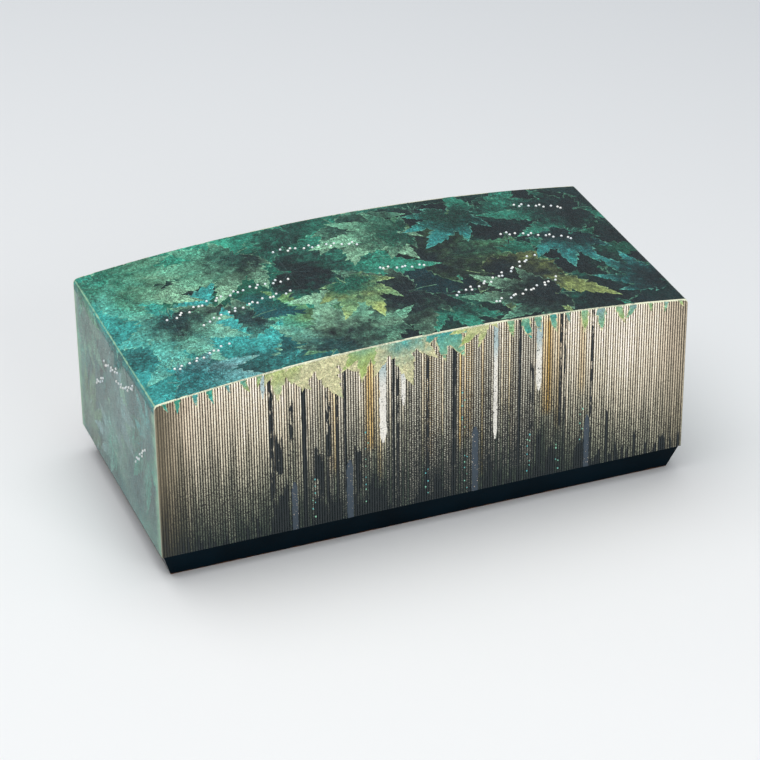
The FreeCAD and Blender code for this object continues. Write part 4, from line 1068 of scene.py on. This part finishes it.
def lobe_outline(length, width, teeth, curl, random):
    """A pointed lobe along +X from the leaf's foot, with forward teeth on both margins."""
    widest, tooth_depth = 0.44, 0.36

    def half_width(share):
        return width * length * (share / widest) ** 0.5 * ((1 - share) / (1 - widest)) ** 1.05

    margins = []
    for side in (1, -1):
        margin = []
        for tooth in range(teeth):
            jitter = random.uniform(-0.016, 0.016)
            notch = max((tooth + 0.2) / teeth + jitter, 0.01)
            tip = min((tooth + 1.2) / teeth + jitter, 0.985)
            cut = 1 - tooth_depth * random.uniform(0.5, 1.2)
            margin.append((notch, side * half_width(notch) * cut))
            margin.append(((notch + tip) / 2, side * half_width((notch + tip) / 2) * 0.9))
            margin.append((tip, side * half_width(tip) * random.uniform(0.96, 1.14)))
        margins.append(margin)
    outline = margins[0] + [(1.0, 0.0)] + margins[1][::-1]
    return [(share * length, across + curl * length * share ** 2) for share, across in outline]


def flat_leaf(size, grid, random):
    """Points and triangles of a flat leaf, tip along +X, foot at the origin, in its own frame."""
    corners, outlines = [], []

    def add(outline):
        outlines.append(list(range(len(corners), len(corners) + len(outline))))
        corners.extend(Vector(point) for point in outline)

    small = size < 20 * MM
    for step, share in LOBES[:1] if small else LOBES:
        length = size * share * random.uniform(0.9, 1.06)
        teeth = max(3, round(length / (5.4 * MM)))
        angle = step * LOBE_SPACING
        turn = np.array([[math.cos(angle), math.sin(angle)], [-math.sin(angle), math.cos(angle)]])
        curl = random.uniform(-0.1, 0.1) - 0.05 * step
        width = 0.18 if small else 0.2 if step == 0 else 0.185
        add(np.array(lobe_outline(length, width, teeth, curl, random)) @ turn)
    if size > 40 * MM:
        bend = 0.03 * size
        add([(0, 0.5 * MM), (-0.1 * size, 0.3 * MM), (-0.2 * size, bend),
             (-0.2 * size, bend - 0.8 * MM), (-0.1 * size, -0.5 * MM), (0, -0.6 * MM)])
    reach = np.arange(-size, size, grid)
    for row, y in enumerate(reach):
        corners += [Vector((x + (row % 2) * grid / 2, y)) for x in reach]
    points, _, triangles, _, _, _ = delaunay_2d_cdt(corners, [], outlines, 1, 1e-7)
    used = sorted({index for triangle in triangles for index in triangle})
    renumber = {old: new for new, old in enumerate(used)}
    points = np.array([points[index][:] for index in used])
    return points, [[renumber[index] for index in triangle] for triangle in triangles]


def folded(plan, marks, triangles, vault, hanging):
    """A flat leaf cut along the folds of the lid, without what lies off its own stretch.

    Gives its plan, its marks, its faces and the edges of its border.
    """
    mesh = bmesh.new()
    own = mesh.verts.layers.float_vector.new("leaf")
    corners = [mesh.verts.new((x, y, 0)) for x, y in plan]
    for corner, mark in zip(corners, marks):
        corner[own] = Vector(mark)
    for triangle in triangles:
        mesh.faces.new([corners[index] for index in triangle])
    folds = [(0, vault.edge_x + vault.end_arc * k / END_FOLDS) for k in range(END_FOLDS + 1)]
    folds += [(1, TOP_HALF_DEPTH + vault.side_arc * k / SIDE_FOLDS) for k in range(SIDE_FOLDS + 1)]
    for axis, distance in folds:
        for sign in (1, -1):
            normal = Vector((0, 0, 0))
            normal[axis] = sign
            bmesh.ops.bisect_plane(mesh, geom=mesh.verts[:] + mesh.edges[:] + mesh.faces[:],
                                   dist=1e-7, plane_co=normal * distance, plane_no=normal)
    lowest = vault.edge_x + vault.end_arc + vault.corner_z - FOOT_LEVEL - 0.4 * MM
    gone = []
    for face in mesh.faces:
        x, y, _ = map(abs, face.calc_center_median())
        turn = (y - TOP_HALF_DEPTH) / vault.side_arc
        elsewhere = turn < 0.4 if hanging else turn > 0.6
        if (x > vault.edge_x and y > TOP_HALF_DEPTH) or elsewhere or x > lowest:
            gone.append(face)
    bmesh.ops.delete(mesh, geom=gone, context="FACES")
    bmesh.ops.triangulate(mesh, faces=mesh.faces[:])
    loose = [corner for corner in mesh.verts if not corner.link_faces]
    bmesh.ops.delete(mesh, geom=loose, context="VERTS")
    mesh.verts.index_update()
    plan = np.array([corner.co[:2] for corner in mesh.verts]).reshape(-1, 2)
    marks = np.array([corner[own][:] for corner in mesh.verts]).reshape(-1, 3)
    faces = [[corner.index for corner in face.verts] for face in mesh.faces]
    border = [(loop.vert.index, loop.link_loop_next.vert.index)
              for loop in (edge.link_loops[0] for edge in mesh.edges if len(edge.link_loops) == 1)]
    mesh.free()
    return plan, marks, faces, border


def lay_leaf(leaf, lift, vault, random, hanging):
    """One leaf laid over the lid: points, faces and what its finish reads."""
    x, y, size, heading, tip, heart = leaf
    tints = bpy.context.scene.box_tints
    size *= MM
    flat, triangles = flat_leaf(size, min(bpy.context.scene.box_lid.leaf_grid, size / 6), random)
    across, far = np.arctan2(flat[:, 1], flat[:, 0]) / LOBE_SPACING, np.hypot(*flat.T) / size
    onward = np.clip((flat[:, 0] / size + 0.35) / 1.25, 0, 1)
    toward_tip = 0.4 * far / np.interp(across, *zip(*sorted(LOBES))) + 0.6 * onward
    turn = math.radians(heading) + random.uniform(-0.35, 0.35) * far
    own_x, own_y = (flat * [1, random.uniform(0.8, 1.0)]).T
    plan = np.stack([x * MM + own_x * np.cos(turn) - own_y * np.sin(turn),
                     y * MM + own_x * np.sin(turn) + own_y * np.cos(turn)], -1)
    marks = np.column_stack([flat, toward_tip])
    plan, marks, faces, border = folded(plan, marks, triangles, vault, hanging)
    count = len(plan)
    margin = np.zeros(count)
    margin[[index for edge in border for index in edge]] = 1
    over = np.maximum(np.abs(plan[:, 1]) - TOP_HALF_DEPTH, 0) / vault.side_arc
    depth = 0.05 * MM + np.clip(over, 0, 1) * 0.45 * MM
    upper, lower = (vault.wrap(*plan.T, height) for height in (lift, -depth))
    faces += [[count + index for index in reversed(face)] for face in faces]
    faces += [[first, first + count, second + count, second] for first, second in border]
    # Rim: a painted highlight where a leaf runs over the rounded edges of the lid
    past_end = np.maximum(np.abs(plan[:, 0]) - vault.edge_x, 0) / vault.end_arc
    rim = np.where(over > 0, np.clip(1 - np.abs(over - 0.45) / 0.5, 0, 1),
                   np.clip(0.66 - np.abs(past_end - 0.5) / 0.5, 0, 1))
    tip, heart = (np.tile((*getattr(tints, colour), 1), (2 * count, 1)) for colour in (tip, heart))
    return np.concatenate([upper, lower]), faces, {
        "leaf_place": np.tile(marks, (2, 1)), "rim": np.tile(rim, 2), "margin": np.tile(margin, 2),
        "leaf_tip": tip, "leaf_heart": heart}


def leaf_group(name, leaves, first_lift, hanging=False, finish="leaf_lacquer"):
    """Leaves of one stretch of the lid as one piece."""
    vault = Vault()
    random = np.random.default_rng(SEEDS[name])
    step = bpy.context.scene.box_lid.leaf_step
    laid = [lay_leaf(leaf, first_lift + order * step, vault, random, hanging)
            for order, leaf in enumerate(leaves)]
    laid = [leaf for leaf in laid if leaf[1]]
    points, faces = join([leaf[:2] for leaf in laid])
    piece = new_piece(name, points, faces, "lid", "green_lacquer", finish)
    give(piece, **{label: np.concatenate([marks[label] for _, _, marks in laid])
                   for label in laid[0][2]})


def mirrored(leaves):
    """The same leaves turned half round, for the other side of the lid."""
    return [(-x, -y, size, heading + 180, tip, heart) for x, y, size, heading, tip, heart in leaves]


def shell_dots(place):
    """Domed shell dots where the small discs of the lid are."""
    node = f"lid_{place}_dots"
    lid = bpy.context.scene.box_lid
    source = bmesh.new()
    source.from_mesh(frame["nodes"][node].data)
    source.transform(frame["nodes"][node].matrix_world)
    bmesh.ops.remove_doubles(source, verts=source.verts[:], dist=1e-6)
    angles = np.linspace(0, 2 * math.pi, 12, endpoint=False)
    seen, parts = set(), []
    for start in source.verts:
        if start in seen:
            continue
        seen.add(start)
        disc = [start]
        for corner in disc:
            near = [link.other_vert(corner) for link in corner.link_edges]
            near = [other for other in near if other not in seen]
            seen.update(near)
            disc += near
        middle = sum((corner.co for corner in disc), Vector()) / len(disc)
        faces = {face for corner in disc for face in corner.link_faces}
        out = max(faces, key=lambda face: face.calc_area() * (face.normal.dot(middle) > 0)).normal
        reach = max((corner.co - middle).dot(out) for corner in disc)
        turn = out.to_track_quat("Z", "Y").to_matrix()
        rises = (-0.5, 0, 0.4, 0.7, 0.92)
        points = []
        for rise in rises:
            radius = lid.dot_radius * math.sqrt(1 - max(rise, 0) ** 2)
            height = reach + lid.dot_dome * rise
            points += [middle + turn @ Vector((radius * math.cos(a), radius * math.sin(a), height))
                       for a in angles]
        parts.append((points, closed_grid(len(rises), len(angles))))
    source.free()
    new_piece(f"{place}_shell_dots", *join(parts), "lid", "shell", "white_shell", node)


# ---------------------------------------------------------------- writing tools

def turned(name, profile, line, body, slot, finish, replaced, around=32, ripple=None):
    """A piece turned about a line along X, from (place, radius) pairs in metres."""
    angles = np.linspace(0, 2 * math.pi, around, endpoint=False)
    y, z = line
    points = []
    for place, radius in profile:
        reach = radius * (1 + ripple(place, angles) if ripple else np.ones(around))
        points += zip([place] * around, y + reach * np.cos(angles), z + reach * np.sin(angles))
    faces = closed_grid(len(profile), around)
    return new_piece(name, points, faces, body, slot, finish, replaced, smooth_under=35)


def bamboo_piece(name, profile, joints, line, body, node):
    """A turned bamboo piece with raised dark joints."""
    shaped, marks = [], []
    for place, radius in profile:
        near = min(abs(place - joint) for joint in joints)
        swell = 0.12 * MM * math.exp(-(near / (1.1 * MM)) ** 2) if radius > 2 * MM else 0
        shaped.append((place, radius + swell))
        marks.append(math.exp(-(near / (0.7 * MM)) ** 2))
    piece = turned(name, shaped, line, body, "bamboo", "polished_bamboo", node)
    give(piece, joint=np.repeat(marks, 32))


def brush(size):
    """Handle, cap and tuft of one brush, on the places that its solids hold."""
    low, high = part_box(f"{size}_brush_handle")
    tuft_low, tuft_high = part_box(f"{size}_brush_tuft")
    cap_low, cap_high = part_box(f"{size}_brush_cap")
    line = ((low.y + high.y) / 2, (low.z + high.z) / 2)
    radius = (high.z - low.z) / 2
    tuft = (tuft_high.z - tuft_low.z) / 2
    cap = (cap_high.z - cap_low.z) / 2
    spigot = tuft + 0.7 * MM
    shoulder = high.x - 13 * MM
    bore = cap - 1 * MM
    edge, skin = 0.35 * MM, 0.12 * MM

    def shaft(first, last, count, thick):
        return [(place, thick - skin) for place in np.linspace(first, last, count)]

    profile = [(low.x, radius - edge - skin), *shaft(low.x + edge, shoulder - edge, 150, radius),
               (shoulder, radius - edge - skin), (shoulder, spigot), (high.x - edge, spigot),
               (high.x, spigot - edge)]
    joints = np.arange(low.x + 21 * MM, shoulder - 8 * MM, 34 * MM)
    bamboo_piece(f"{size}_handle", profile, joints, line, f"{size}_brush", f"{size}_brush_handle")

    room = cap_high.x - 3 * MM
    profile = [(room, 0.3 * MM), (room, bore), (cap_low.x + edge, bore), (cap_low.x, bore + edge),
               (cap_low.x, cap - edge - skin),
               *shaft(cap_low.x + edge, cap_high.x - 1.2 * MM, 60, cap),
               (cap_high.x - 0.4 * MM, cap - 0.7 * MM), (cap_high.x, cap - 2 * MM),
               (cap_high.x, 0.3 * MM)]
    bamboo_piece(f"{size}_cap", profile, [cap_low.x + 4 * MM, cap_high.x - 6 * MM], line,
                 f"{size}_cap", f"{size}_brush_cap")

    length = tuft_high.x - tuft_low.x
    shares = np.linspace(0, 1, 41)
    belly = tuft * (1 - shares ** 2.1) * (0.94 + 0.06 * np.sin(shares * 3))
    profile = list(zip(tuft_low.x + shares * length, np.maximum(belly, 0.06 * MM)))

    def ridges(place, angles):
        share = (place - tuft_low.x) / length
        wave = np.cos(angles * 13 + share * 2) + 0.6 * np.cos(angles * 21 - share * 3)
        return 0.035 * math.sin(min(share * 8, QUARTER)) * wave - 0.056

    piece = turned(f"{size}_tuft", profile, line, f"{size}_brush", "hair", "brush_hair",
                   f"{size}_brush_tuft", 64, ridges)
    give(piece, along=np.repeat(shares, 64))


def ink_stick():
    """A pressed stick with rounded edges, a sunk face inside a raised border and one ground end."""
    low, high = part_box("ink_stick")
    middle, half = (low + high) / 2, (high - low) / 2
    border, sunk, soft, corner = 2.2 * MM, 0.5 * MM, 0.8 * MM, 2 * MM
    outline = []
    for quarter, (right, up) in enumerate([(1, 1), (-1, 1), (-1, -1), (1, -1)]):
        for turn in np.linspace(quarter, quarter + 1, 7) * QUARTER:
            outline.append((right * (half.x - corner) + corner * math.cos(turn),
                            up * (half.y - corner) + corner * math.sin(turn)))
    turns = np.linspace(0, QUARTER, 5)[1:]
    # Each ring: how far inside the outline, and its level.
    rings = [(border + soft, high.z - sunk - 0.05 * MM), (border + 0.35 * MM, high.z - sunk),
             (border, high.z - 0.1 * MM), (border - 0.3 * MM, high.z), (soft, high.z)]
    rings += [(soft * (1 - math.sin(turn)), high.z - soft * (1 - math.cos(turn))) for turn in turns]
    rings += [(0, middle.z), (0, low.z + soft)]
    rings += [(soft * (1 - math.cos(turn)), low.z + soft * (1 - math.sin(turn))) for turn in turns]
    points = np.array([(middle.x + x - math.copysign(inset, x),
                        middle.y + y - math.copysign(inset, y), level)
                       for inset, level in rings for x, y in outline])
    slant = np.clip((points[:, 1] - (high.y - 5 * MM)) / (5 * MM), 0, 1)
    points[:, 2] -= 1.6 * MM * slant ** 2 * (points[:, 2] - low.z) / (high.z - low.z)
    piece = new_piece("pressed_stick", points, closed_grid(len(rings), len(outline)), "ink_stick",
                      "ink", "pressed_ink", "ink_stick", 30)
    shown = [0, 0, 1, 1, 1, 0.4] + [0] * (len(rings) - 6)
    give(piece, border=np.repeat(shown, len(outline)) * (slant < 0.2), ground=slant)


# ---------------------------------------------------------------- stage

def put(name, data, place, aim, roll=0):
    """An object at a place, with its -Z towards its aim."""
    holder = bpy.data.objects.new(name, data)
    bpy.context.scene.collection.objects.link(holder)
    place = Vector(place)
    turn = (Vector(aim) - place).to_track_quat("-Z", "Y").to_matrix().to_4x4()
    holder.matrix_world = Matrix.Translation(place) @ turn @ Matrix.Rotation(roll, 4, "Z")
    return holder


def softbox(name, place, size, power):
    """A square area light that points at the box."""
    light = bpy.data.lights.new(name, "AREA")
    light.shape = "SQUARE"
    light.size = size
    light.energy = power
    put(name, light, place, (0, 0, CROWN / 2))


def floor_and_light(stage):
    """A floor that greys as it runs away from the camera and to the right, a painted falloff of the
    light; two softboxes and the room around.
    """
    bpy.ops.mesh.primitive_circle_add(vertices=96, radius=9, fill_type="NGON")
    floor = bpy.context.object
    floor.name = "floor"
    desk, shader = new_finish("floor", Roughness=0.6, Specular_IOR_Level=0.2)
    view = Vector(stage.camera_aim) - Vector(stage.camera_place)
    ahead = Vector((view.x, view.y, 0)).normalized()
    across = Vector((ahead.y, -ahead.x, 0))
    # Painted falloff of light: the floor's colour darkens away from the camera and a little to the
    # right
    far = desk.place().dot(ahead + 0.3 * across).ramp(-0.2, 0.95, 0, 1)
    desk.fill(shader, Base_Color=desk.mix(far, stage.floor_near, stage.floor_far))
    floor.data.materials.append(bpy.data.materials["floor"])

    softbox("overhead_softbox", place=(-0.35, 0.25, 2.1), size=2.2, power=stage.overhead_power)
    softbox("front_softbox", place=(0.5, -2.2, 1.0), size=1.2, power=stage.front_power)

    world = bpy.data.worlds.new("room")
    bpy.context.scene.world = world
    world.use_nodes = True
    desk = Desk(world.node_tree)
    seen = desk.node("ShaderNodeLightPath", {}, "Is Camera Ray")
    cool_white, backdrop = (0.93, 0.96, 1.0), 0.8
    desk.fill(world.node_tree.nodes["Background"].inputs, Color=cool_white,
              Strength=seen.ramp(0, 1, stage.haze, backdrop))


def camera(stage):
    """The camera that the scene is seen through."""
    data = bpy.data.cameras.new("camera")
    data.lens = stage.lens
    data.sensor_width = 36
    data.clip_end = 50
    scene = bpy.context.scene
    scene.camera = put("camera", data, stage.camera_place, stage.camera_aim, stage.camera_roll)
    scene.view_settings.view_transform = "Standard"


# ---------------------------------------------------------------- operators

class BOX_OT_stage(bpy.types.Operator):
    """Floor, soft light and camera"""
    bl_idname = "writing_box.stage"
    bl_label = "Stage"

    def execute(self, context):
        floor_and_light(context.scene.box_stage)
        camera(context.scene.box_stage)
        return {"FINISHED"}


class BOX_OT_finishes(bpy.types.Operator):
    """Lacquers, metals and inlays that the pieces share"""
    bl_idname = "writing_box.finishes"
    bl_label = "Finishes"

    def execute(self, context):
        facing, inside = context.scene.box_facing, context.scene.box_inside
        for make in (sponged_lacquer, worn_edge, sprinkled_gold, leaf_veins, ribbed_bronze,
                     polished_black):
            make()
        for name in ("ground_lacquer", "leaf_lacquer", "end_lacquer", "leaf_end_lacquer"):
            graded_lacquer(name)
        inlay("eggshell_inlay", facing.eggshell, facing.bare, 0.4, 1.0)
        inlay("slate_inlay", facing.slate_blue, facing.crest, 0.3, 0.0)
        polished_shell("white_shell", (246, 247, 242), (226, 236, 240))
        polished_shell("blue_shell", (96, 190, 196), (150, 214, 176))
        sprinkled_black(inside, "box_lacquer", 0.11)
        sprinkled_black(inside, "tray_lacquer", 0.19)
        for make in (honed_slate, pressed_ink, patinated_bronze, polished_bamboo, bare_cypress,
                     dark_horn, brush_hair):
            make(inside)
        return {"FINISHED"}


class BOX_OT_lid_skin(bpy.types.Operator):
    """Vaulted top and end boards in ground lacquer"""
    bl_idname = "writing_box.lid_skin"
    bl_label = "Lid skin"

    def execute(self, context):
        vaulted_top()
        dress("end_lacquer", "lid_left_board", "lid_right_board")
        return {"FINISHED"}


class BOX_OT_leaves(bpy.types.Operator):
    """Drifting leaves in raised lacquer over the top, the ends and the upper front and back"""
    bl_idname = "writing_box.leaves"
    bl_label = "Leaves"

    def execute(self, context):
        low = context.scene.box_lid.leaf_lift
        high = low + len(TOP_LEAVES) * context.scene.box_lid.leaf_step
        leaf_group("top_leaves", TOP_LEAVES, low)
        leaf_group("front_fringe", FRINGE_LEAVES, high, hanging=True)
        leaf_group("back_fringe", mirrored(FRINGE_LEAVES), high, hanging=True)
        leaf_group("left_end_leaves", END_LEAVES, low, finish="leaf_end_lacquer")
        leaf_group("right_end_leaves", mirrored(END_LEAVES), low, finish="leaf_end_lacquer")
        return {"FINISHED"}


class BOX_OT_facings(bpy.types.Operator):
    """Ribbed bronze facings, front and back"""
    bl_idname = "writing_box.facings"
    bl_label = "Ribbed facings"

    def execute(self, context):
        for side in (-1, 1):
            ribbed_facing(side)
            inlays(side)
        return {"FINISHED"}


class BOX_OT_dots(bpy.types.Operator):
    """White shell dots on the lid"""
    bl_idname = "writing_box.dots"
    bl_label = "Shell dots"

    def execute(self, context):
        for name in ("top_left", "top_right", "left", "right"):
            shell_dots(name)
        return {"FINISHED"}


class BOX_OT_plinth(bpy.types.Operator):
    """Bevelled plinth in polished black"""
    bl_idname = "writing_box.plinth"
    bl_label = "Plinth"

    def execute(self, context):
        dress("polished_black", "plinth_front", "plinth_back", "plinth_left", "plinth_right")
        return {"FINISHED"}


class BOX_OT_inside(bpy.types.Operator):
    """Black lacquer with sprinkled gold inside the lid, on the box and on the tray"""
    bl_idname = "writing_box.inside"
    bl_label = "Inside"

    def execute(self, context):
        for part in frame["record"]["subparts"]:
            node, slot = part["node"], part["material_slot"]
            if slot == "inner_lacquer":
                tray = node.startswith(("tray_", "brush_rest")) and "ledge" not in node
                dress("tray_lacquer" if tray else "box_lacquer", node)
            elif slot == "key_wood":
                dress("bare_cypress", node)
        return {"FINISHED"}


class BOX_OT_tools(bpy.types.Operator):
    """Inkstone, water dropper, ink stick and two brushes"""
    bl_idname = "writing_box.tools"
    bl_label = "Writing tools"

    def execute(self, context):
        dress("honed_slate", "inkstone")
        dress("patinated_bronze", "dropper_vessel", "dropper_cover", "dropper_spout")
        dress("dark_horn", "large_brush_button", "small_brush_button")
        ink_stick()
        for size in ("large", "small"):
            brush(size)
        return {"FINISHED"}


PIECES = (
    BOX_OT_stage, BOX_OT_finishes, BOX_OT_lid_skin, BOX_OT_leaves, BOX_OT_facings,
    BOX_OT_dots, BOX_OT_plinth, BOX_OT_inside, BOX_OT_tools,
)


class BOX_PT_panel(bpy.types.Panel):
    """Lists the pieces and their settings"""
    bl_idname = "BOX_PT_panel"
    bl_label = "Writing box"
    bl_space_type = "VIEW_3D"
    bl_region_type = "UI"
    bl_category = "Writing box"

    def draw(self, context):
        for operator in PIECES:
            self.layout.operator(operator.bl_idname)
        for name, group in SETTINGS.items():
            column = self.layout.column()
            for setting in group.__annotations__:
                column.prop(getattr(context.scene, name), setting)


CLASSES = (*SETTINGS.values(), *PIECES, BOX_PT_panel)


def register():
    for item in CLASSES:
        bpy.utils.register_class(item)
    for name, group in SETTINGS.items():
        setattr(bpy.types.Scene, name, PointerProperty(type=group))


def unregister():
    for name in SETTINGS:
        delattr(bpy.types.Scene, name)
    for item in reversed(CLASSES):
        bpy.utils.unregister_class(item)


def main():
    register()
    for operator in PIECES:
        family, action = operator.bl_idname.split(".")
        getattr(getattr(bpy.ops, family), action)()


if __name__ == "__main__":
    main()
